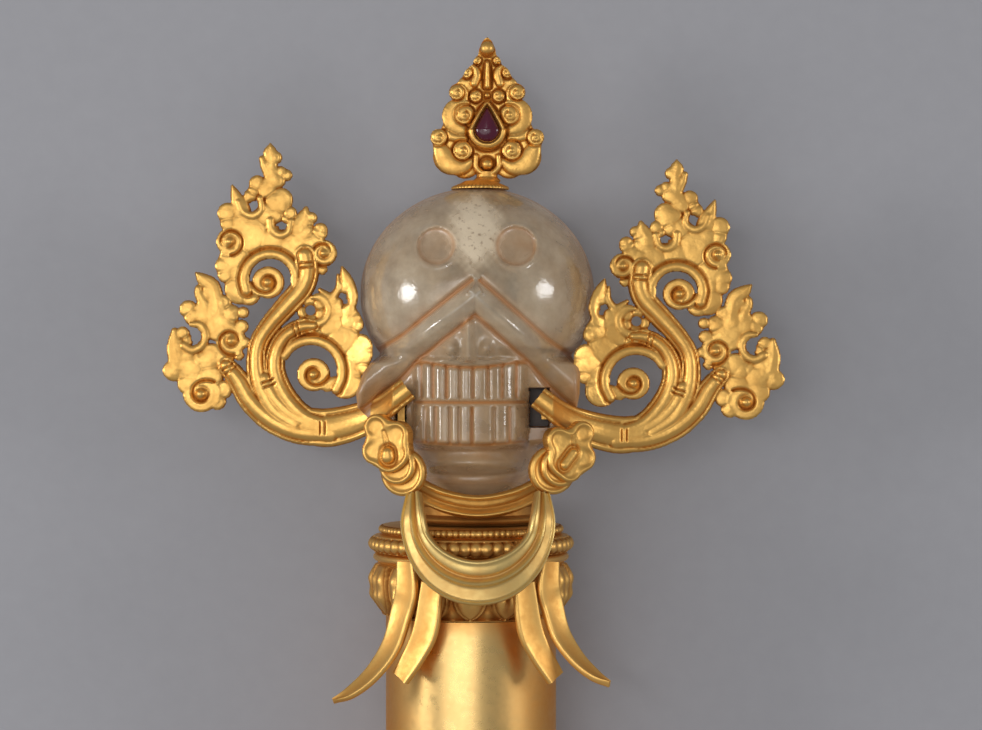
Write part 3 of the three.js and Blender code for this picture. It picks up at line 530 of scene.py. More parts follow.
# The side scrolls, in a plane with x outwards from the skull and y towards the finial.
# Each leaf has rounded lobes, scrolled curls, an opening with a scrolled boss, flames, hooks and eyes.
LEAVES = [
    {
        "lobes": [
            (27, 30.2, 3.9), (22.9, 28.8, 3.1), (18.8, 27.8, 3.3), (29.8, 25.6, 3.1), (31.4, 24.3, 2.2),
            (28.9, 20.1, 3), (31.2, 34.1, 2), (28.6, 32.3, 2.4), (21.9, 36.1, 2.5), (24, 33.8, 2.4),
            (25.7, 39.6, 1.6), (24, 38.8, 2), (21.4, 41.6, 1.3), (17.6, 30.6, 2.4), (14.1, 30.4, 1.5),
            (16.4, 28.2, 2.4), (23.1, 42, 1.4), (22.3, 40.5, 1.9), (21.4, 36.6, 2.3), (22.5, 34, 1.8),
            (28.8, 34.2, 1.9), (31, 32.3, 1.7), (17.5, 31.2, 1.9), (16.4, 32.4, 1.3), (15.2, 29, 1.8),
            (31.4, 22.8, 1.8), (29.2, 22.9, 2.3), (29.4, 19.4, 2.1), (27.3, 19, 2.1), (23.5, 43, 1.2),
            (27, 37.3, 1.3), (26.4, 38.2, 1.2), (19.6, 34.1, 1.3), (20.4, 33.1, 0.9), (15.6, 33.2, 1.1),
            (13.9, 31, 1.3), (20.3, 41.2, 1.1), (22.3, 44.5, 1.2), (13.6, 23.6, 1),
        ],
        "curls": [(30.8, 28.8, 2.6, 1, 0.75, 0.7), (13.3, 26.6, 2.5, -1, 0.35, 0.8)],
        "opening": (23.3, 21.7, 3.9),
        "boss": (23.7, 21.2, 3, 1, 0.0, 4.0),
        "bridge": [(25.2, 20, 1.5), (28, 19.9, 1.5)],
        "rim": (4.8, 0.9, -10, 205),
        "flames": [
            [(28.6, 35, 1.5), (29.5, 36.8, 1.2), (30.4, 39.2, 0.3)],
            [(22.9, 40, 1.5), (23.2, 42.4, 1.2), (23, 44, 1.1), (23.3, 45.3, 1.3), (23.3, 46.9, 0.3)],
            [(23.7, 41.5, 0.9), (24.4, 42.9, 0.8), (24.8, 44.3, 0.6)],
            [(18, 31.7, 1.5), (17, 33.3, 1.3), (16.6, 35, 0.4)],
        ],
        "hooks": [
            [(29.2, 36.2, 0.7), (28.4, 34.4, 0.7), (26.6, 33.6, 0.8), (25, 34.8, 0.7), (25.2, 36.8, 0.6)],
            [(23.3, 32.8, 0.7), (23, 31, 0.8), (21.6, 30, 0.8), (20, 30.6, 0.7), (19.4, 32.6, 0.6)],
        ],
        "eyes": [(26.4, 35.6, 0.8), (21.2, 31.6, 0.55)],
    },
    {
        "lobes": [
            (9.2, 2.6, 3.1), (6.8, 7.8, 2.8), (8.4, 14, 2.3), (9.8, 10.6, 3.3), (11.8, 13.2, 2.7),
            (15, 12.2, 1.9), (17.8, 12.3, 1.6), (8.8, 5.6, 2.4), (11, 17, 1.5), (8.7, 15, 2),
            (7.3, 13.3, 1.6), (6.4, 9.2, 2.4), (8.3, 4.4, 2.1), (12.6, 15, 1.6), (9.1, 20.3, 1.3),
            (12, 17.8, 1.3), (15.9, 17.6, 1.2), (14.1, 17.1, 1.3), (13.9, 15.3, 1.2), (17.2, 15.6, 1.1),
            (15.6, 14.6, 1.1), (6.3, 9, 1.9), (6.2, 5.4, 1.5),
        ],
        "curls": [],
        "opening": (15.7, 4.6, 4.9),
        "boss": (15.2, 4, 3.1, -1, 0.5, 4.0),
        "bridge": [(12.7, 2.1, 1.3), (10.2, 2.5, 1.4)],
        "rim": (5.8, 0.9, -35, 150),
        "flames": [
            [(11.3, 15.8, 1.7), (12.1, 18, 1.1), (14, 19.8, 0.4)],
            [(11.7, 18.3, 0.8), (10.5, 20.1, 0.7), (10.6, 22.5, 0.3)],
            [(8.6, 16, 1.2), (7.9, 18.4, 1.1), (8.3, 20.3, 1.1), (9.1, 21.9, 1.1), (9.8, 23.9, 0.3)],
        ],
        "hooks": [
            [(17.6, 14, 0.6), (15.4, 13.4, 0.8), (13.1, 14.2, 0.8), (12.3, 16.4, 0.8), (13.7, 18.3, 0.9),
             (15.4, 18.4, 0.4)],
        ],
        "eyes": [(15.8, 16, 0.95), (9.2, 17.6, 0.45)],
    },
    {
        "lobes": [
            (41.4, 4.8, 2), (38.6, 5.5, 2.6), (38.4, 2.4, 2.3), (34.7, 3.6, 2.6), (34.3, 7.4, 2.5),
            (38.6, 16.2, 1.7), (33.1, 13.4, 3.2), (35.6, 15.1, 2.7), (30.3, 15.7, 1.3), (39, 7.6, 2),
            (32.3, 7, 2.2), (36.6, 6.6, 1.8), (37.6, 15, 1.9), (32.2, 17.3, 1.6), (31, 15.3, 1.9),
            (31.8, 13.2, 2.1), (34.3, 15, 2.5), (40.1, 7.7, 1.7), (41.1, 4.2, 1.4), (38.2, 5.2, 2.8),
            (35.2, 6.6, 2.4), (34.7, 19.3, 1.4), (40.5, 9.5, 1.6), (39.7, 11.7, 1.3), (38.8, 10.4, 1.1),
            (32.2, 1.2, 1.8), (33.2, -1, 1.6), (28.4, 15.6, 1.1), (28.7, 13, 1.3), (27.9, 10, 1),
            (29.2, 7.6, 1),
        ],
        "curls": [(36.2, 0.4, 3.4, 1, 0.39, 4.5), (30.6, 10.3, 2.8, -1, 0.3, 1.4)],
        "flames": [
            [(40.6, 6.5, 1.8), (41.2, 9.4, 1.4), (41.2, 12.2, 0.6)],
            [(33.3, 16.1, 1.6), (33.6, 18.6, 1.5), (34.3, 20.6, 1.5), (35.8, 21.7, 1.2), (37.1, 22.9, 0.3)],
            [(35.6, 17.1, 1.2), (36.6, 19.1, 0.9), (36.7, 20.1, 0.7)],
        ],
        "hooks": [
            [(39.4, 9.4, 0.8), (37.8, 8.6, 0.8), (36, 9.6, 0.8), (35.4, 11.6, 0.8), (36.4, 13.2, 0.8),
             (38, 13.4, 0.5)],
        ],
        "eyes": [(37.2, 10.9, 0.95)],
    },
]
# Each bough is a row of [x, y, half-width].
BOUGHS = [
    [
        (-2.7, 1.5, 2.2), (0.4, -0.9, 2.3), (3.2, -2.8, 2.7), (6.6, -4.4, 3.2), (9.8, -5.4, 3.5),
        (13.2, -5.9, 3.6), (16.6, -5.4, 3.3),
    ],
    [(12, -7, 2.4), (18.2, -6.6, 2.3), (23.2, -4.4, 2.3), (27, -0.9, 2.2), (29.4, 3.1, 2), (31.5, 5.7, 1.7)],
    [(14, -5.4, 2.6), (18.6, -4, 2.5), (22.4, -0.6, 2.3), (24.4, 3.2, 2)],
    [
        (18.6, -5.4, 2.1), (22.6, -2.6, 2.3), (25, 1.6, 2.2), (25.9, 5.9, 1.9), (25.4, 10, 1.8),
        (23.2, 13.5, 1.9), (20.1, 17, 2.1), (17.4, 20.1, 2.2), (16.4, 23.1, 2.2), (16.8, 26.2, 2.2),
    ],
    [
        (13.1, -5.2, 1.9), (17.1, -3.7, 2.1), (20.5, -0.1, 2.1), (22.3, 4.2, 1.9), (22.2, 8, 1.8),
        (20.5, 11.1, 1.7), (17.5, 12.9, 1.6), (15.1, 13.1, 1.3),
    ],
]
# Pairs of short cuts across the boughs: [middle x, middle y, direction of the bough in degrees].
TICKS = [(13.4, -5.9, 0), (23.5, 2.4, 70), (30.9, 5.1, 52), (18.3, 12.3, 165), (16.5, 24.4, 85)]


def edge_rounding(depth, radius):
    """From 0.45 at the outline to 1 at a depth of one radius, along a quarter circle."""
    return 0.45 + 0.55 * quarter_round(depth, radius)


def leaf_relief(x, y, leaf):
    """One leaf's outline field and front height.

    The lobes are rounded pads with a crease where two meet near the edge, found from the two nearest.
    """
    nearest = np.full(x.shape, 1e3)
    second = nearest.copy()
    outline = nearest.copy()
    for lobe in leaf["lobes"]:
        away = disc(x, y, lobe)
        outline = smooth_min(outline, away, 0.3)
        second = np.minimum(second, np.maximum(nearest, away))
        nearest = np.minimum(nearest, away)
    crease = bump(second - nearest, 0.3) * (1 - ease(0.2, 1.5, -outline))
    flames = np.full(x.shape, -1.0)
    for points in leaf["flames"]:
        away, across, _ = stroke(x, y, points)
        outline = smooth_min(outline, away, 0.3)
        flames = np.maximum(flames, np.where(away < 0, 0.14 * (1 - across**2), -1))
    hooks = np.full(x.shape, -1.0)
    for points in leaf["hooks"]:
        away, across, _ = stroke(x, y, points)
        outline = smooth_min(outline, away, 0.3)
        hooks = np.maximum(hooks, np.where(away < 0, 0.5 * dome(across), -1))
    groove = np.zeros(x.shape)
    if "rim" in leaf:
        radius, half, start, stop = leaf["rim"]
        away, across, _ = stroke(x, y, arc_points(leaf["opening"], radius, half, start, stop))
        outline = smooth_min(outline, away, 0.3)
        hooks = np.maximum(hooks, np.where(away < 0, 0.6 * dome(across), -1))
        groove = bump(away - 0.25, 0.3)
        outline = np.maximum(outline, -disc(x, y, leaf["opening"]))
    pad = LEAF_HALF * edge_rounding(-outline, 0.55) + 0.18 * ease(0, 2.5, -outline)
    front = pad - 0.17 * crease - 0.35 * groove
    front = np.maximum(front, pad + flames * edge_rounding(-outline, 0.5))
    front = np.maximum(front, np.where(hooks >= 0, LEAF_HALF * 0.9 + hooks, -1))
    if "bridge" in leaf:
        away, across, _ = stroke(x, y, leaf["bridge"])
        outline = np.minimum(outline, away)
        gap = (away < 0) & (front < LEAF_HALF * 0.6)
        front = np.where(gap, LEAF_HALF * (1 - 0.4 * across**4), front)
    curls = leaf["curls"] + ([leaf["boss"]] if "boss" in leaf else [])
    for curl in curls:
        height, away = rolled_end(x, y, curl)
        outline = smooth_min(outline, away, 0.2)
        level = LEAF_HALF * edge_rounding(-outline, 0.5) + 0.18 * ease(0, 2.5, -outline)
        front += (level + height - front) * (1 - ease(0.0, 0.5, away))
    for eye in leaf["eyes"]:
        away = disc(x, y, eye)
        outline = np.maximum(outline, -away)
        front = front - 0.3 * bump(away, 0.35)
    return outline, front


def bough_relief(x, y, points):
    """A bough's outline field and front height: a rounded bar with a raised middle and two grooves."""
    away, across, _ = stroke(x, y, points, 8)
    side = np.clip(np.abs(across), 0, 1)
    front = BOUGH_HALF * (1 - side**5) ** 0.5 * 0.9 + 0.2
    front += 0.35 * (1 - ease(0.1, 0.6, side))
    front -= 0.38 * bump(side - 0.64, 0.1)
    return away, np.where(away < 0, np.maximum(front, BOUGH_HALF * 0.45), -1)


def tick_cuts(x, y):
    """Two fine cuts across a bough at each tick's place."""
    cuts = np.zeros(x.shape)
    for tick_x, tick_y, turn in TICKS:
        angle = np.radians(turn)
        run = (x - tick_x) * np.cos(angle) + (y - tick_y) * np.sin(angle)
        side = (y - tick_y) * np.cos(angle) - (x - tick_x) * np.sin(angle)
        cuts += (bump(run - 0.45, 0.16) + bump(run + 0.45, 0.16)) * (1 - ease(1.0, 1.5, np.abs(side)))
    return np.clip(cuts, 0, 1)


def wing_surface():
    """The flat scroll: every leaf and bough on one grid, the higher of two heights where they meet."""
    step = 0.2
    xs = np.arange(-4.5, 44.6, step)
    ys = np.arange(-10.5, 48.2, step)
    x, y = np.meshgrid(xs, ys)
    outline = np.full(x.shape, 1e3)
    front = np.full(x.shape, -1.0)
    for leaf in LEAVES:
        away, height = leaf_relief(x, y, leaf)
        outline = np.minimum(outline, away)
        front = np.where(away < 0.15, np.maximum(front, height), front)
    for points in BOUGHS:
        away, height = bough_relief(x, y, points)
        outline = np.minimum(outline, away)
        front = np.maximum(front, height)
    for leaf in LEAVES:
        for eye in leaf["eyes"]:
            outline = np.maximum(outline, -disc(x, y, eye))
    root_x, root_y = BOUGHS[0][0][:2]
    square_end = (root_x - x) * 0.79 + (y - root_y) * 0.62
    outline = np.where((x < root_x + 4) & (y < root_y + 4), np.maximum(outline, square_end), outline)
    front = np.maximum(front, LEAF_HALF * 0.45) - 0.35 * tick_cuts(x, y)
    thick = np.full(x.shape, -1.0)
    for points in BOUGHS:
        thick = np.maximum(thick, -stroke(x, y, points, 3)[0])
    leaf_back = LEAF_HALF * edge_rounding(-outline, 0.6)
    back = -np.where(thick > 0, BOUGH_HALF * edge_rounding(thick, 0.8), leaf_back)
    return plate(xs, ys, outline, front, back)


def wing_lift(x):
    """How far the scroll's plane stands forward: it rises to the cheek as it nears its root."""
    return WING_PLANE_Z + WING_ROOT_RISE * np.exp(-np.maximum(x, 0) / WING_RISE_REACH)


def wing(name, side, flat, stretch, drop, forward, tongue_low):
    """A side scroll set beside the skull, with the tongue that drops into the cheek's slot."""
    points, faces, hollow = flat
    root_top = wing_lift(0) + forward
    tongue_floor = 5.3
    tongue = slab((-1.9, tongue_low, tongue_floor), (-0.6, -0.1, root_top - 6))
    stub = slab((-1.2, -1.5, tongue_floor), (0.2, -0.3, root_top - 0.6))
    bent = points * [1, stretch, 1] - [0, drop, 0]
    bent[:, 2] += wing_lift(points[:, 0]) + forward
    points, faces, hollow = joined([(bent, faces, hollow), tongue, stub])
    placed = (points + [WING_ROOT[0], WING_ROOT[1], 0]) * [side, 1, 1] + [WING_CENTRE_X, 0, 0]
    faces = faces if side > 0 else turned_round(faces)
    piece = add_mesh(name, placed, faces, GILT, hollow)
    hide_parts(name)


FLAT_WING = wing_surface()
wing("side_scroll_left", -1, FLAT_WING, **WING_LEFT)
wing("side_scroll_right", 1, FLAT_WING, **WING_RIGHT)


# The skull. Stations below the cranium: [y, half-width, depth in front, depth behind, sideways shift].
JAW = np.array(
    [
        [-11, 17.9, 15.6, 17, -0.4], [-14.7, 20, 13.6, 14, -1], [-18.5, 20.6, 12.6, 11.8, -1.7],
        [-21, 20.2, 12.2, 10.6, -1.8], [-23.8, 17.6, 12.4, 9.6, -1.6], [-26.9, 14.3, 13.4, 9, -1],
        [-31, 11.6, 13, 8.4, -0.4], [-34.8, 9.6, 10.8, 7.8, 0], [-37.5, 8.3, 8.8, 7.2, 0],
        [CHIN_Y, 7.4, 7.4, 6.8, 0],
    ]
)
BROW_APEX = (-0.25, -0.7)
BROW_ARMS = [(-0.79, -0.613), (0.755, -0.656)]
BROW_HALF = 2.5
NOSE_X = -1.5
MOUTH_X = -1.2
GUM_TOP = -12.7
BITE = -20.0
GUM_LOW = -27.2
# The gaps between two teeth, from left to right.
UPPER_GAPS = [-9.0, -6.8, -4.3, -1.9, 0.45, 3.2, 5.8, 8.4]
LOWER_GAPS = [-8.2, -6.3, -3.7, -2.0, 0.3, 4.3, 7.2]
EYES = [(-7.4, 8.4, 3.5), (7.1, 8.4, 3.7)]
SLOTS = [(-15.1, -13.1), (9.6, 13.4)]
SLOT_Y = (-24.7, -17.4)
SLOT_FLOOR = 5.0
SKULL_COLUMNS = 300
CROWN_ROWS = 158
JAW_ROWS = 132


def skull_sections(y):
    """Half-width, front depth, back depth and shift at each height: an ellipse above, stations below."""
    width, height, front, back = CRANIUM
    share = dome(y / height)
    order = JAW[::-1]
    blend = 1 - ease(-12.0, -9.8, y)
    upper = [width * share, front * share, back * share, 0 * y]
    lower = [np.interp(y, order[:, 0], order[:, k]) for k in (1, 2, 3, 4)]
    return [u + (l - u) * blend for u, l in zip(upper, lower)]


def face_relief(x, y):
    """Height added to the face at (x, y), and how much soil and painted shade lies there.

    The chevron brow is a roofed bar with a cut on each side. The eyes are round dishes. The muzzle
    stands forward with a cut round each gum, one along the bite and one between each two teeth.
    """
    # Chevron brow.
    rise = np.zeros(x.shape)
    soil_and_shade = np.zeros(x.shape)
    brow = np.full(x.shape, 1e3)
    for dx, dy in BROW_ARMS:
        run = (x - BROW_APEX[0]) * dx + (y - BROW_APEX[1]) * dy
        side = np.abs((y - BROW_APEX[1]) * dx - (x - BROW_APEX[0]) * dy)
        flare = 1 + 0.35 * ease(14, 22, run)
        brow = np.minimum(brow, np.where(run > -1.5, side / flare, 1e3))
    reach = np.clip(1 - brow / BROW_HALF, 0, 1)
    rise += 1.8 * smooth_min(reach * 1.2, 1.0, 0.25)
    rise -= 0.6 * bump(brow - BROW_HALF - 0.2, 0.45)
    smear = 0.28 * bump(brow - BROW_HALF - 0.6, 1.3) * (1 - ease(24, 27, np.abs(x)))
    soil_and_shade += 0.75 * bump(brow - BROW_HALF - 0.15, 0.42) + smear
    # Eyes: round dishes, with painted shade inside them and round their rims.
    for ex, ey, radius in EYES:
        away = np.hypot(x - ex, y - ey)
        rise -= 1.7 * dome(away / radius) - 0.15 * bump(away - radius - 0.4, 0.35)
        soil_and_shade += 0.26 * (1 - ease(radius - 0.4, radius + 0.1, away)) + 0.34 * bump(away - radius + 0.2, 0.45)
    # Nose: a thin ridge that flares into two nostrils, inside the chevron.
    below = 1 - ease(-6.0, -4.4, y)
    above_gum = ease(GUM_TOP - 0.3, GUM_TOP + 0.5, y)
    ridge = bump(x - NOSE_X, 0.65 + 0.5 * np.clip((-4 - y) / 8, 0, 1))
    rise += below * above_gum * 2.6 * ridge
    for nx in (-3.1, 3.3):
        rise += 1.9 * above_gum * bump(x - NOSE_X - nx, 1.35) * bump(y + 10.4, 1.5)
    # Muzzle and teeth.
    u = x - MOUTH_X
    gum_top = GUM_TOP - 0.9 * (1 - np.clip(u / 8, -1, 1) ** 2)
    gum_low = GUM_LOW - 0.5 * (1 - np.clip(u / 9, -1, 1) ** 2)
    mouth = ease(gum_low - 0.3, gum_low + 0.4, y) * (1 - ease(gum_top - 0.2, gum_top + 0.3, y))
    mouth *= 1 - ease(9.4, 10.6, np.abs(u))
    cuts = bump(y - gum_top, 0.34) + bump(y - BITE, 0.36) + 0.7 * bump(y - gum_low, 0.3)
    cuts *= 1 - ease(9.6, 10.8, np.abs(u))
    rise -= 0.65 * cuts
    soil_and_shade += 0.95 * cuts
    upper = mouth * ease(BITE + 0.4, BITE + 1.0, y)
    lower = mouth * (1 - ease(BITE - 1.0, BITE - 0.4, y))
    for gaps, band in ((UPPER_GAPS, upper), (LOWER_GAPS, lower)):
        for gap in gaps:
            rise -= 0.75 * bump(u - gap, 0.42) * band
            soil_and_shade += 1.3 * bump(u - gap, 0.3) * band * (0.65 + 0.35 * np.sin(7 * gap))
    # Chin: a soft roll below the teeth and a cut under it.
    chin = bump(y + 31.2 + 0.012 * u**2, 1.3) * (1 - ease(8, 11, np.abs(u)))
    rise += 1.2 * chin
    rise -= 0.5 * bump(y + 33.6 - 0.01 * u**2, 0.6)
    soil_and_shade += 0.35 * bump(y + 34.5, 1.0) + 0.3 * bump(y + 28.5, 1.6) * (1 - ease(9, 13, np.abs(u)))
    # Darker where the cheeks end and beside the muzzle.
    soil_and_shade += 0.4 * bump(np.abs(x) - 18.5, 3.2) * bump(y + 17.5, 2.6)
    soil_and_shade += 0.3 * bump(np.abs(u) - 12.4, 1.5) * bump(y + 26.5, 4.5)
    return rise, np.clip(soil_and_shade, 0, 0.9)


def skull_surface():
    """The skull on a grid of heights and angles, closer together over the face and its teeth."""
    u = (np.arange(SKULL_COLUMNS) + 0.5) / SKULL_COLUMNS * 2 * np.pi
    angle = u - 0.62 * np.sin(u)
    height = CRANIUM[1]
    y_top = height * np.cos(np.linspace(0.02, np.pi / 2 + 0.55, CROWN_ROWS))
    y_low = np.linspace(y_top[-1], CHIN_Y, JAW_ROWS + 1)[1:]
    y = np.concatenate([y_top, y_low])[:, None] + 0 * angle[None, :]
    width, front, back, shift = skull_sections(y)
    sin, cos = np.sin(angle)[None, :], np.cos(angle)[None, :]
    x = width * sin
    facing = cos > 0
    z = np.where(facing, front, back) * cos
    # The muzzle and the chin stand forward of the face, as two rounded drums.
    face_x = x + shift
    u_mouth = face_x - MOUTH_X
    drum = 10.2 + 7.3 * dome(u_mouth / 10.6)
    drum_range = (1 - ease(GUM_TOP - 0.4, GUM_TOP + 1.2, y)) * ease(GUM_LOW - 2.0, GUM_LOW + 0.2, y)
    nose_range = (1 - ease(-8, -3, y)) * ease(GUM_TOP - 1, GUM_TOP + 0.5, y) * 0.6
    raised = smooth_max(z, drum, 1.0)
    share = np.clip(drum_range + nose_range * (1 - ease(4, 8, np.abs(u_mouth))), 0, 1)
    z = np.where(facing, z + (raised - z) * share, z)
    rise, soil_and_shade = face_relief(face_x, y)
    z = z + rise * ease(0.0, 0.35, cos)
    # A thin rim where the surface turns away from the camera is painted darker: painted shade for the
    # crystal's dark outline.
    turned_up = cos * dome(np.clip(y, 0, height) / height)
    soil_and_shade = np.minimum(soil_and_shade * ease(0.02, 0.25, cos) + 0.55 * bump(turned_up - 0.13, 0.16), 0.9)
    # The slots are cut back to their floor and painted nearly black, as painted shade.
    for x0, x1 in SLOTS:
        inside = (face_x > x0) & (face_x < x1) & (y > SLOT_Y[0]) & (y < SLOT_Y[1]) & facing
        z = np.where(inside, np.minimum(z, SLOT_FLOOR), z)
        soil_and_shade = np.where(inside, 1.0, soil_and_shade)
    z = np.maximum(z, -AXIS_HEIGHT)
    points = np.stack([face_x + HEAD_X, y, z], axis=2)
    # The frosted patch on the brow, with a ragged edge.
    patch = np.hypot((face_x + 0.3) / 4.6, (y - 11.5) / 7.2)
    patch += 0.12 * np.sin(face_x * 1.3 + 0.8 * y) * np.cos(y * 0.9)
    patch += 0.05 * np.sin(4.1 * face_x) * np.sin(3.7 * y)
    frost = (1 - ease(0.55, 1.35, patch)) * ease(0.1, 0.4, cos)
    return points, soil_and_shade, frost


def add_skull():
    """The crystal skull, with its soil, its painted shade and its frost stored on the mesh."""
    points, soil_and_shade, frost = skull_surface()
    flat, faces = capped_tube(points)
    faces = turned_round(faces)
    soil_and_shade = np.append(soil_and_shade.ravel(), [0, 0])
    frost = np.append(frost.ravel(), [0, 0])
    piece = add_mesh("crystal_skull", flat, faces, CRYSTAL, soil_and_shade, sharp=60)
    layer = piece.data.attributes.new("frost", "FLOAT", "POINT")
    layer.data.foreach_set("value", frost.astype(np.float32))
    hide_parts("crystal_skull")


add_skull()


# Turned work round the staff's axis.


def turned(profile, columns, relief=None, centre_x=0.0, flat_at=None):
    """A profile of [radius, y] from top to bottom, turned round the staff's axis.

    relief(angle, y) is added to the radius. flat_at cuts a flat spot at that height.
    """
    profile = np.asarray(profile, float)
    angle = np.linspace(0, 2 * np.pi, columns, endpoint=False)[None, :]
    radius = profile[:, :1] + 0 * angle
    y = profile[:, 1:] + 0 * angle
    hollow = np.zeros(radius.shape)
    if relief:
        extra, hollow = relief(angle + 0 * y, y)
        radius = radius + extra
    z = radius * np.cos(angle)
    if flat_at is not None:
        z = np.maximum(z, flat_at)
    points = np.stack([centre_x + radius * np.sin(angle), y, z], axis=2)
    flat, faces = capped_tube(points)
    return flat, turned_round(faces), np.append(hollow.ravel(), [0, 0])


def moulding(parts, step):
    """A smooth profile through [radius, y] corners, with a point every step of its length."""
    corners = np.asarray(parts, float)
    lengths = np.hypot(*np.diff(corners, axis=0).T)
    at = np.concatenate([[0], np.cumsum(lengths)])
    wanted = np.arange(0, at[-1], step)
    return np.column_stack([np.interp(wanted, at, corners[:, 0]), np.interp(wanted, at, corners[:, 1])])


def half_round(low_y, high_y, base, rise, count=9):
    """A convex ring's section from high_y down to low_y."""
    t = np.linspace(0, np.pi, count)
    mid, half = (low_y + high_y) / 2, (high_y - low_y) / 2
    return [(base + rise * np.sin(a), mid + half * np.cos(a)) for a in t]


PETALS = 16
# The knobs of one petal's double swirl: [place across, place up, width, height] as shares of the petal.
KNOBS = [
    (-0.36, 0.72, 0.32, 0.21), (0.36, 0.72, 0.32, 0.21), (-0.28, 0.36, 0.26, 0.18), (0.28, 0.36, 0.26, 0.18),
]
# The bead rows: [count, height over the capital's foot, distance from the axis, bead radius].
BEAD_ROWS = [(56, 13.4, BEAD_RING_RADIUS - 1.35, 1.35), (96, 16.1, 17.2, 0.72)]


def capital_relief(angle, y):
    """The lotus petals that hang down, each with a groove and knobs, and the two bead rows."""
    foot = SHAFT_TOP
    phase = np.mod(angle / (2 * np.pi) * PETALS + 0.5, 1) * 2 - 1
    v = np.clip((y - foot - 0.4) / 9.3, 0, 1)
    half = 0.95 * quarter_round(v, 0.45) * (1 - 0.15 * ease(0.7, 1, v))
    inside = half - np.abs(phase)
    on_petals = ease(foot + 0.2, foot + 0.6, y) * (1 - ease(foot + 9.4, foot + 9.7, y))
    pad = ease(-0.02, 0.14, inside)
    groove = bump(inside - 0.24, 0.08)
    knobs = np.zeros(phase.shape)
    for across, up, wide, high in KNOBS:
        knobs += bump(np.hypot((phase - across) / wide, (v - up) / high), 0.8)
    under = bump(1 - np.abs(phase), 0.34) * bump(v - 0.1, 0.13)
    extra = on_petals * (-1.0 + pad + 0.7 * under * (1 - pad) - 0.3 * groove + 0.65 * np.minimum(knobs, 1.1))
    hollow = on_petals * np.clip(1 - pad - 0.7 * under + 0.7 * groove + 0.35 - 0.5 * knobs, 0, 1)
    for count, rise, radius, size in BEAD_ROWS:
        middle = foot + rise
        turn = (np.mod(angle / (2 * np.pi) * count, 1) - 0.5) * 2 * np.pi / count * radius
        reach = np.hypot(turn, y - middle)
        ball = np.sqrt(np.clip(size**2 - reach**2, 0, None))
        near = np.abs(y - middle) < size
        extra = np.where(near, ball - 0.25, extra)
        hollow = np.where(near, ease(size * 0.62, size * 1.05, reach), hollow)
    return extra, hollow


def add_capital():
    """Rings and bead rows above, and below them the petals, whose profile bulges and draws in."""
    foot = SHAFT_TOP
    bead_seat = BEAD_RING_RADIUS - 1.35
    parts = [(9, foot + 17), (15.5, foot + 17), (16.9, foot + 16.8), (17.0, foot + 15.4), (16.2, foot + 15.2)]
    parts += [(bead_seat, foot + 14.9), (bead_seat, foot + 11.9), (17.2, foot + 11.8)]
    parts += half_round(foot + 10.1, foot + 11.7, 17.4, 1.0)
    parts += [(17.2, foot + 9.9)]
    for t in np.linspace(1, 0, 30):
        radius = PETAL_RADIUS + 0.2 - 2.4 * (1 - t) ** 2.6 - 1.1 * t**3
        parts.append((radius, foot + 0.2 + 9.2 * t))
    parts += [(SHAFT_RADIUS - 1, foot + 0.05)]
    points, faces, hollow = turned(moulding(parts, 0.19), 528, capital_relief)
    capital = add_mesh("lotus_capital", points, faces, GILT_WORN, hollow)
    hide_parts("lotus_capital")


def add_neck_cup():
    """The plain cup that carries the jaw, with a ring at its foot."""
    foot = SHAFT_TOP
    rim = CHIN_Y + 1.4
    cup = [(8.9, CHIN_Y - 0.3), (8.9, rim), (11.3, rim), (11.5, rim - 0.3), (11.5, rim - 1.2)]
    cup += [(10.9, rim - 1.5), (10.9, foot + 19.0)] + half_round(foot + 17.4, foot + 18.9, 11.2, 1.7)
    cup += [(12.6, foot + 17.3), (6, foot + 17.05)]
    points, faces, hollow = turned(moulding(cup, 0.25), 160, centre_x=HEAD_X)
    # The whole cup is pushed towards the deep colour: painted shade in the recess under the jaw.
    cup_piece = add_mesh("neck_cup", points, faces, GILT_WORN, hollow + 0.75)
    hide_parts("neck_cup")


def add_shaft():
    """The plain round shaft."""
    foot = SHAFT_TOP
    sides = [(SHAFT_RADIUS, y) for y in np.linspace(foot - 0.02, SHAFT_BOTTOM + 0.02, 100)]
    shaft = [(2, foot - 0.02)] + sides + [(2, SHAFT_BOTTOM + 0.02)]

    def painted_shaft_shade(angle, y):
        """Painted shade: darker under the capital, above the pommel and on the flanks, away from the front
        that faces the lights.
        """
        flank = 0.85 * ease(0.15, 1.2, np.abs(np.mod(angle + np.pi, 2 * np.pi) - np.pi + 0.1))
        ends = 0.7 * ease(foot - 5, foot, y) ** 2 + 0.4 * (1 - ease(SHAFT_BOTTOM, SHAFT_BOTTOM + 4, y))
        return 0 * y, np.clip(flank + ends, 0, 1)

    points, faces, hollow = turned(shaft, 144, painted_shaft_shade)
    shaft_piece = add_mesh("staff_shaft", points, faces, SHAFT_GILT, hollow)
    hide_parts("staff_shaft")


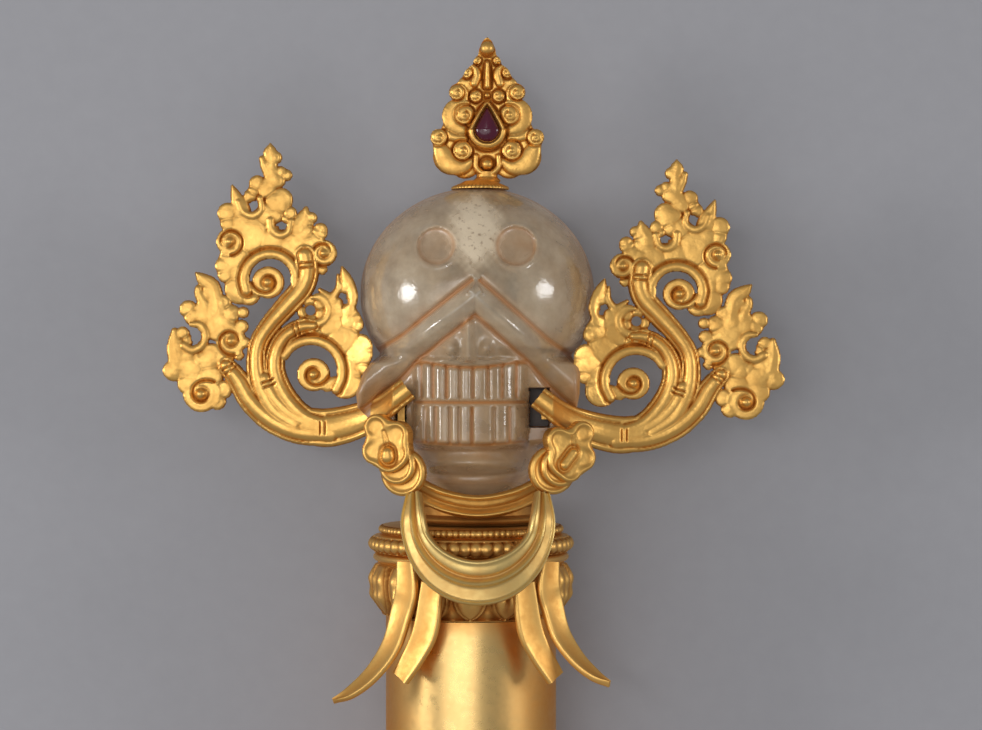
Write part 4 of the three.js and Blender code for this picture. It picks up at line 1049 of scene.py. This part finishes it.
def add_pommel():
    """Rings over a gadrooned knob, with a flat spot where the widest ring rests on the ground."""
    top = SHAFT_BOTTOM
    ring = AXIS_HEIGHT + 0.35
    knob_top, knob_bottom = top - 17.5, POMMEL_BOTTOM + 3
    parts = [(2, top - 0.02), (17, top - 0.02), (17.8, top - 1.5)] + half_round(top - 5.2, top - 1.7, 17, 0.8)
    parts += half_round(top - 13.5, top - 6.5, ring - 1.6, 1.6, 21)
    parts += [(17.5, top - 14), (16.4, top - 14.6), (15, top - 15.4), (15, top - 16.6)]
    for t in np.linspace(1, 0.02, 40):
        parts.append((7 + 9.5 * np.sin(np.pi * (0.2 + 0.66 * t)), knob_bottom + (knob_top - knob_bottom) * t))
    parts += half_round(POMMEL_BOTTOM + 0.2, POMMEL_BOTTOM + 2.8, 7, 1.5)
    parts += [(5, POMMEL_BOTTOM + 0.02), (1, POMMEL_BOTTOM)]

    def gadroons(angle, y):
        """Rounded ribs round the knob, with dark lines between them."""
        wave = np.abs(np.cos(angle * 12))
        on = ease(knob_bottom + 3, knob_bottom + 9, y) * (1 - ease(knob_top - 3, knob_top, y))
        return on * (0.5 * wave - 0.4), on * (1 - ease(0.05, 0.3, wave)) * 0.8

    points, faces, hollow = turned(moulding(parts, 0.55), 192, gadroons, flat_at=-AXIS_HEIGHT)
    pommel = add_mesh("pommel", points, faces, GILT_WORN, hollow)
    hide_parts("pommel")


add_capital()
add_neck_cup()
add_shaft()
add_pommel()


# The scarf: ribbons of metal with their faces turned away from the staff's axis.


def ribbon(points, thickness, relief, across=25, along=90):
    """A ribbon along a route of [x, y, z, width], closed round its section.

    relief(s, t) is the height added at s from -1 to 1 across the face. The section runs over the
    face, then back underneath, with rounded edges.
    """
    p = mirrored_ends(points)
    at = np.linspace(0, len(p) - 3 - 1e-6, along)
    k = at.astype(int)
    route = curve_between(p[k], p[k + 1], p[k + 2], p[k + 3], (at - k)[:, None])
    middle, width = route[:, :3], np.maximum(route[:, 3], 0.2)
    tangent = np.gradient(middle, axis=0)
    tangent /= np.linalg.norm(tangent, axis=1)[:, None]
    outward = middle * [1, 0, 1] - [SCARF_X, 0, 0]
    sideways = np.cross(tangent, outward)
    sideways /= np.linalg.norm(sideways, axis=1)[:, None]
    normal = np.cross(sideways, tangent)
    s = np.linspace(-1, 1, across)
    rounded = (1 - np.abs(s) ** 8) ** 0.5
    share = np.linspace(0, 1, along)[:, None]
    top = (thickness / 2 + relief(s[None, :], share)) * (0.35 + 0.65 * rounded[None, :]) + 0 * share
    under = -thickness / 2 * (0.5 + 0.5 * rounded[None, ::-1]) + 0 * share
    height = np.hstack([top, under])
    place = np.concatenate([s, s[::-1]])
    half = (width / 2)[:, None]
    grid = (
        middle[:, None, :]
        + (half * place[None, :])[..., None] * sideways[:, None, :]
        + height[..., None] * normal[:, None, :]
    )
    face = relief(s[None, :], share) + 0 * share
    low = np.clip((face.max() - face) / max(np.ptp(face), 0.05) - 0.45, 0, 1)
    hollow = np.hstack([low, np.full(low.shape, 0.3)])
    flat, faces = capped_tube(grid)
    return flat, turned_round(faces), np.append(hollow.ravel(), [0.2, 0.2])


def on_round(x, y, radius, width):
    """A point at a distance from the axis, at x across the front."""
    return (x + SCARF_X, y, np.sqrt(max(radius**2 - x**2, 1.0)), width)


def add_scarf():
    """The crescent, the neck band and the four hanging ends."""
    middle = RIBBON_SEAT + RIBBON_THICKNESS + 1.4
    span, top_y, bottom_y = 11.6, -38.8, -52.2
    bowl_y = bottom_y + span
    route = [on_round(-span + 0.1, top_y + 2.4, middle - 1.6, 2.6)]
    for angle in np.linspace(np.pi, 2 * np.pi, 11):
        x = span * np.cos(angle)
        y = bowl_y + (bowl_y - bottom_y) * np.sin(angle)
        share = max(0.0, -np.sin(angle)) ** 1.4
        route.append(on_round(x, y, middle, 4.7 + 3.4 * share))
    route.append(on_round(span - 0.1, top_y + 2.4, middle - 1.6, 2.6))

    def dished(s, t):
        """Two hollow bands between three rims: the inner band is wide, the outer narrow."""
        rims = bump(s - 0.93, 0.1) + 0.9 * bump(s - 0.04, 0.12) + 0.7 * bump(s + 0.93, 0.14)
        return 0.8 * rims + 0.25 * bump(s + 0.6, 0.3) - 0.35 * bump(s + 0.22, 0.1) - 0.45 + 0 * t

    points, faces, hollow = ribbon(route, 1.6, dished, across=51, along=140)
    crescent = add_mesh("scarf_crescent", points, faces, PALE_GILT, hollow * 0.9, sharp=50)
    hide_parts("scarf_crescent")

    neck_depth = 12.55
    band = [
        (SCARF_X - 14.2, -32.7, 11.4, 2.2), (SCARF_X - 11.2, -35.4, 12.4, 3.6),
        (SCARF_X - 6.3, -38, neck_depth + 0.8, 4.2), (SCARF_X, -39.1, neck_depth + 1.2, 4.3),
        (SCARF_X + 6.3, -38, neck_depth + 0.8, 4.2), (SCARF_X + 11.2, -35.4, 12.4, 3.6),
        (SCARF_X + 14.2, -32.7, 11.4, 2.2),
    ]

    def twin_rims(s, t):
        """A thick rolled rim above, a groove and a thinner rim below."""
        rims = 0.75 * bump(s - 0.7, 0.26) + 0.45 * bump(s + 0.78, 0.2)
        return rims - 0.3 * bump(s - 0.15, 0.2) - 0.2 + 0 * t

    points, faces, hollow = ribbon(band, 1.5, twin_rims, across=41, along=110)
    neck_band = add_mesh("neck_band", points, faces, GILT, hollow * 1.3, sharp=50)
    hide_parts("neck_band")

    outer_end = [
        (13, -48.9, 0, 4), (12.9, -54.2, 0, 4.9), (13.9, -58.4, 0, 4.9), (15.7, -64.2, 1.4, 4.4),
        (19, -69.1, 4.4, 3.5), (22.8, -72.4, 8, 2.4), (26.2, -74, 11.2, 0.5),
    ]
    inner_end = [(8.2, -52.6, 0, 4.2), (9.3, -60.5, 0, 4.9), (11.1, -65, 0.2, 4.5), (14, -70, 0.9, 3.8)]
    base = RIBBON_SEAT + RIBBON_THICKNESS / 2

    def gutter(s, t):
        """A shallow hollow along the middle."""
        return 0.3 * s * s - 0.1 + 0 * t

    for word, side, stretch in (("left", -1, 1.0), ("right", 1, 0.86)):
        for kind, end, pull in (("outer", outer_end, stretch), ("inner", inner_end, 1.0)):
            first_y = end[0][1]
            route = []
            for i, (x, y, stand, width) in enumerate(end):
                narrowed = x * (1 + (pull - 1) * 0.7 * i / (len(end) - 1))
                route.append(on_round(side * narrowed, first_y + (y - first_y) * pull, base + stand, width))
            points, faces, hollow = ribbon(route, RIBBON_THICKNESS, gutter, across=25, along=80)
            name = f"ribbon_end_{kind}_{word}"
            piece = add_mesh(name, points, faces, RIBBON_GILT, hollow * 0.6, sharp=50)
            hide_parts(name)


add_scarf()


# The knots: a lobed flower plate with a raised edge and a bud, over the rims of two folded loops.
KNOTS = {
    "left": {
        "middle": (-14.9, -29.6, 16.2),
        "lobes": [
            (-2.2, 5.1, 2.4), (1.7, 3.8, 2.4), (1.9, 0.5, 2.4), (-2.7, 0.7, 2.3), (-0.4, 1.6, 3),
            (0.3, -0.7, 2.4),
        ],
        "loops": [(2.5, -3.1, 4.3), (1.6, -1.8, 3.5)],
        "bud": [(0.1, -0.2, 1.3), (0.1, 0.4, 1.2)],
        "stem": [(0, 1.5, 0.35), (-0.7, 4.2, 0.2)],
    },
    "right": {
        "middle": (17.9, -30.1, 16.2),
        "lobes": [
            (-2.2, 3.4, 2.2), (2.6, 4.5, 2.2), (2.7, 0, 2.4), (0, -2.1, 2.3), (-0.2, 1.2, 3.2),
            (-2, -0.8, 2),
        ],
        "loops": [(-2.8, -2.2, 4.4), (-1.6, -1.6, 3.6)],
        "bud": [(-1, -1.2, 0.9), (0.7, 0.9, 0.9)],
        "stem": [(1.2, 1.6, 0.3), (0.6, 4.3, 0.2)],
    },
}


def add_knot(word, side):
    """One flower over its two loops, tilted to the side it hangs on."""
    knot = KNOTS[word]
    step = 0.12
    xs = np.arange(-8.5, 8.6, step)
    ys = np.arange(-9, 8.6, step)
    x, y = np.meshgrid(xs, ys)
    flower = np.full(x.shape, 1e3)
    for lobe in knot["lobes"]:
        flower = smooth_min(flower, disc(x, y, lobe), 1.8)
    outline = flower
    front = np.full(x.shape, -2.0)
    for level, loop in zip((-1.1, -0.45), knot["loops"]):
        away = disc(x, y, loop)
        outline = smooth_min(outline, away, 0.2)
        rim = level + 0.35 * edge_rounding(-away, 0.5) + 0.35 * bump(away + 0.55, 0.45)
        front = np.where(away < 0.05, np.maximum(front, rim), front)
    petal = 0.45 * edge_rounding(-flower, 0.5) + 0.4 * bump(flower + 0.5, 0.45)
    front = np.where(flower < 0.02, np.maximum(front, petal), front)
    away, _, _ = stroke(x, y, knot["stem"])
    front = front - 0.25 * bump(away, 0.3) * (flower < -0.6)
    away, across, _ = stroke(x, y, knot["bud"])
    half = knot["bud"][0][2]
    bud = 0.35 + half * 0.9 * dome(across)
    front = np.where(away < 0, np.maximum(front, bud), front - 0.35 * bump(away - 0.3, 0.4))
    front = np.maximum(front, -1.4)
    back = np.full(x.shape, -1.9)
    points, faces, hollow = plate(xs, ys, outline, front, back, rounds=14)
    tilt = np.radians(20 * side)
    turn = np.array([[np.cos(tilt), 0, -np.sin(tilt)], [0, 1, 0], [np.sin(tilt), 0, np.cos(tilt)]])
    placed = points @ turn + knot["middle"]
    name = f"knot_{word}"
    piece = add_mesh(name, placed, faces, GILT, hollow * 0.8)
    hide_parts(name)


add_knot("left", -1)
add_knot("right", 1)


# The flame finial, in its own plane, with y = 0 at the foot of the stem. Domes are [x, y, radius, rise].
FINIAL_CENTRE = -0.25
FINIAL_BODY = [
    (0, 24.4, 1.5), (0, 21.6, 2.7), (2.0, 19.4, 2.4), (0, 18.4, 3.8), (3.0, 17.2, 2.9), (5.6, 16.7, 1.6),
    (0, 14, 5.4), (5.2, 12.2, 3.3), (0, 8, 6.6), (6.2, 9.2, 2.5), (9.1, 8.2, 1.6), (6.7, 4.7, 3.5),
    (4.2, 3.4, 2.9), (8, 6.6, 2.2), (0, 3.2, 2.7),
]
FINIAL_LEAVES = [
    ([(3.9, 20.4, 0.7), (2.8, 21.3, 0.8), (2.0, 19.9, 1.0), (2.4, 18.3, 0.8)], 0.8),
    ([(6.6, 16.4, 0.8), (5.2, 17.4, 0.8), (4.2, 16.4, 0.8), (4.4, 14.8, 0.7)], 0.6),
    ([(4.0, 14.5, 0.8), (6.0, 13.8, 1.7), (6.5, 11.6, 2.0), (5.2, 9.8, 1.4), (3.5, 9.4, 0.6)], 0.75),
    ([(9.4, 8.6, 0.8), (7.6, 8.6, 0.9), (6.0, 8.1, 0.8), (4.2, 7.9, 0.7)], 0.6),
    ([(3.2, 3.5, 0.9), (4.8, 2.6, 1.5), (7.1, 3.4, 2.1), (8.5, 5.3, 1.6), (9.2, 7.0, 0.9)], 0.75),
]
FINIAL_BEADS = [
    (3.8, 20.3, 1.0, 0.9), (2.1, 15.9, 1.15, 1.2), (5.7, 16.6, 1.4, 0.8), (4.2, 12.4, 1.8, 0.9),
    (9.1, 8.2, 1.55, 0.8), (4.6, 5.7, 1.8, 0.9), (1.9, 22.6, 0.8, 0.7),
]
FINIAL_MIDDLE = [(0, 24.9, 1.3, 1.2), (0, 16.0, 0.6, 0.8), (0, 3.1, 1.15, 1.5)]
FINIAL_TIP = [(0, 24, 1.6), (0, 25.6, 1.1), (0, 27, 0.1)]
FINIAL_SPINE = [(0, 22, 0.5), (0, 17.7, 0.65)]
FINIAL_CRADLE = [(-2.1, 4.6, 0.55), (-2.0, 2.4, 0.6), (0, 1.1, 0.65), (2.0, 2.4, 0.6), (2.1, 4.6, 0.55)]
STONE_RADIUS = 2.3


def teardrop(x, y, half_width, low, high):
    """A field that is below zero inside a drop, round below and pointed above."""
    round_y = low + half_width
    length = high - round_y
    t = np.clip((y - round_y) / length, 0, 1.5)
    cone = np.abs(x) - half_width * np.clip(1 - t, 0, 1) ** 0.8
    ball = np.hypot(x, y - round_y) - half_width
    return np.where(y > round_y, np.maximum(cone * 0.8, (y - high) * 0.9), ball)


def finial_surface():
    """The flame leaf: a body of merged lobes, with raised leaves, curls, beads and the stone's collar."""
    step = 0.14
    xs = np.arange(-12.5, 12.6, step)
    ys = np.arange(-0.6, 28, step)
    x, y = np.meshgrid(xs, ys)
    mx = np.abs(x)
    outline = np.full(x.shape, 1e3)
    for lobe in FINIAL_BODY:
        outline = smooth_min(outline, disc(mx, y, lobe), 0.4)
    away, _, _ = stroke(x, y, FINIAL_TIP)
    outline = smooth_min(outline, away, 0.3)
    outline = np.maximum(outline, -y - 0.1)
    front = 0.55 * FINIAL_HALF * edge_rounding(-outline, 0.9)
    for points, rise in FINIAL_LEAVES:
        away, across, _ = stroke(mx, y, points, 5)
        front = np.where(away < 0, np.maximum(front, 0.9 + rise * dome(across)), front)
    for cx, cy, radius, rise in FINIAL_BEADS:
        height, away = snail(mx, y, (cx, cy, radius), 1, 0.3)
        ball = rise * dome(disc(mx, y, (cx, cy, 0)) / radius)
        front = np.where(away < 0, 0.9 + 0.55 * ball + 0.9 * height, front - 0.4 * bump(away - 0.1, 0.25))
    for cx, cy, radius, rise in FINIAL_MIDDLE:
        away = disc(x, y, (cx, cy, radius))
        ball = 0.9 + rise * dome(away / radius + 1)
        front = np.where(away < 0, ball, front - 0.5 * bump(away - 0.15, 0.35))
    away, across, _ = stroke(x, y, FINIAL_SPINE)
    front = np.where(away < 0, 0.9 + 1.3 * dome(across), front - 0.4 * bump(away - 0.1, 0.3))
    away, across, _ = stroke(x, y, FINIAL_CRADLE, 6)
    front = np.where(away < 0, 0.9 + 0.9 * dome(across), front)
    collar = teardrop(x, y, 3.6, 5.9, 15.0)
    seat = teardrop(x, y, 2.5, 7.1, 14.0)
    collar_front = 1.5 + 0.65 * bump(seat - 0.35, 0.4) + 0.4 * bump(collar + 0.3, 0.35)
    collar_front = np.where(seat < 0, 1.2, collar_front)
    front = np.where(collar < 0, collar_front, front - 0.5 * bump(collar - 0.15, 0.35))
    front = np.maximum(front, 0.4)
    back = -0.75 * FINIAL_HALF * edge_rounding(-outline, 0.8)
    return plate(xs, ys, outline, front, back, rounds=12, depth=0.3)


def add_finial():
    """The flame leaf with its stem and its beaded foot as one piece, and the stone in its collar."""
    points, faces, hollow = finial_surface()
    leaf_foot = [FINIAL_FOOT[0] + FINIAL_CENTRE, FINIAL_FOOT[1], 0]
    stem = moulding([(1, 2.4), (2.0, 2.2), (2.0, 1.2), (2.6, 0.6), (2.2, 0.1), (2.5, -0.6), (1, -0.8)], 0.15)
    stem = stem + [0, FINIAL_FOOT[1] - 0.5]
    stem_points, stem_faces, stem_hollow = turned(stem, 64, centre_x=FINIAL_FOOT[0] - 0.3)
    seat = CRANIUM[1] + 0.3
    dish = [(1, 1.1), (2.9, 1.0), (5.1, -0.05), (5.4, -0.35), (5.4, -0.6), (1, 0.02)]
    dish = moulding(dish, 0.2) + [0, seat]

    def beaded(angle, y):
        """A row of small beads round the dish's rim."""
        count = 44
        wave = np.abs(np.sin(angle * count / 2))
        on = bump(y - seat + 0.1, 0.35)
        return on * (0.25 * wave - 0.1), on * (1 - wave) * 0.8

    dish_points, dish_faces, dish_hollow = turned(dish, 220, beaded, centre_x=HEAD_X + 0.5)
    everything = joined(
        [
            (points + leaf_foot, faces, hollow),
            (stem_points, stem_faces, stem_hollow + 0.3),
            (dish_points, dish_faces, dish_hollow),
        ]
    )
    piece = add_mesh("flame_finial", everything[0], everything[1], GILT, everything[2])
    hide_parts("flame_finial")

    step = 0.1
    xs = np.arange(-3, 3.01, step)
    ys = np.arange(6.5, 14.6, step)
    x, y = np.meshgrid(xs, ys)
    outline = teardrop(x, y, STONE_RADIUS, 7.35, 13.7)
    front = 1.55 + quarter_round(-outline, STONE_RADIUS)
    points, faces, _ = plate(xs, ys, outline, front, np.full(x.shape, 1.3))
    stone = add_mesh("garnet", points + leaf_foot, faces, GARNET, sharp=60)
    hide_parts("garnet")


add_finial()


# The studio.

PIXELS_ACROSS = 982
SCALE = 170 / 32
CAMERA_ABOVE_AXIS = 450.0
CAMERA_X = 3.76
CAMERA_Y = -13.2
SENSOR = 36.0


def add_floor():
    """The grey paper that the sceptre lies on."""
    size = 3.0
    mesh = bpy.data.meshes.new("floor")
    corners = [(-size, -size, 0), (size, -size, 0), (size, size, 0), (-size, size, 0)]
    mesh.from_pydata(corners, [], [(0, 1, 2, 3)])
    shader = Shader("floor_paper")
    grain = shader.mottle(260.0, 4.0)
    tint = shader.mix(grain, (0.34, 0.337, 0.358, 1), (0.37, 0.366, 0.388, 1))
    sockets = {"Base Color": tint, "Roughness": 0.85}
    mesh.materials.append(shader.surface(shader.node("ShaderNodeBsdfPrincipled", None, sockets)))
    floor = bpy.data.objects.new("floor", mesh)
    bpy.context.scene.collection.objects.link(floor)


def add_light(name, from_mm, at_mm, width, height, watts):
    """A soft panel at one place that faces another."""
    light = bpy.data.lights.new(name, "AREA")
    light.shape = "ELLIPSE"
    light.size, light.size_y = width, height
    light.energy = watts
    lamp = bpy.data.objects.new(name, light)
    place, aim = scene_points(from_mm), scene_points(at_mm)
    lamp.location = place
    lamp.rotation_euler = Vector(aim - place).to_track_quat("-Z", "Y").to_euler()
    bpy.context.scene.collection.objects.link(lamp)


def add_studio():
    """A dim even sky, four soft panels, and the camera straight above."""
    world = bpy.data.worlds.new("studio")
    world.use_nodes = True
    background = world.node_tree.nodes["Background"]
    background.inputs[0].default_value = (0.95, 0.97, 1.0, 1)
    background.inputs[1].default_value = 0.33
    bpy.context.scene.world = world
    centre = (2, -20, 5)
    add_light("over_panel", (-210, -40, 820), centre, 0.5, 0.9, 1.6)
    add_light("glint_strip", (-150, 60, 760), centre, 0.06, 0.3, 0.45)
    add_light("left_panel", (-780, 20, 370), centre, 0.22, 0.26, 2.4)
    add_light("right_panel", (780, 60, 390), centre, 0.22, 0.26, 1.6)
    bpy.context.scene.view_settings.view_transform = "Standard"
    camera = bpy.data.cameras.new("camera")
    camera.sensor_width = SENSOR
    camera.lens = SENSOR * CAMERA_ABOVE_AXIS / (PIXELS_ACROSS / SCALE)
    eye = bpy.data.objects.new("camera", camera)
    eye.location = scene_points([CAMERA_X, CAMERA_Y, CAMERA_ABOVE_AXIS])
    bpy.context.scene.collection.objects.link(eye)
    bpy.context.scene.camera = eye


add_floor()
add_studio()
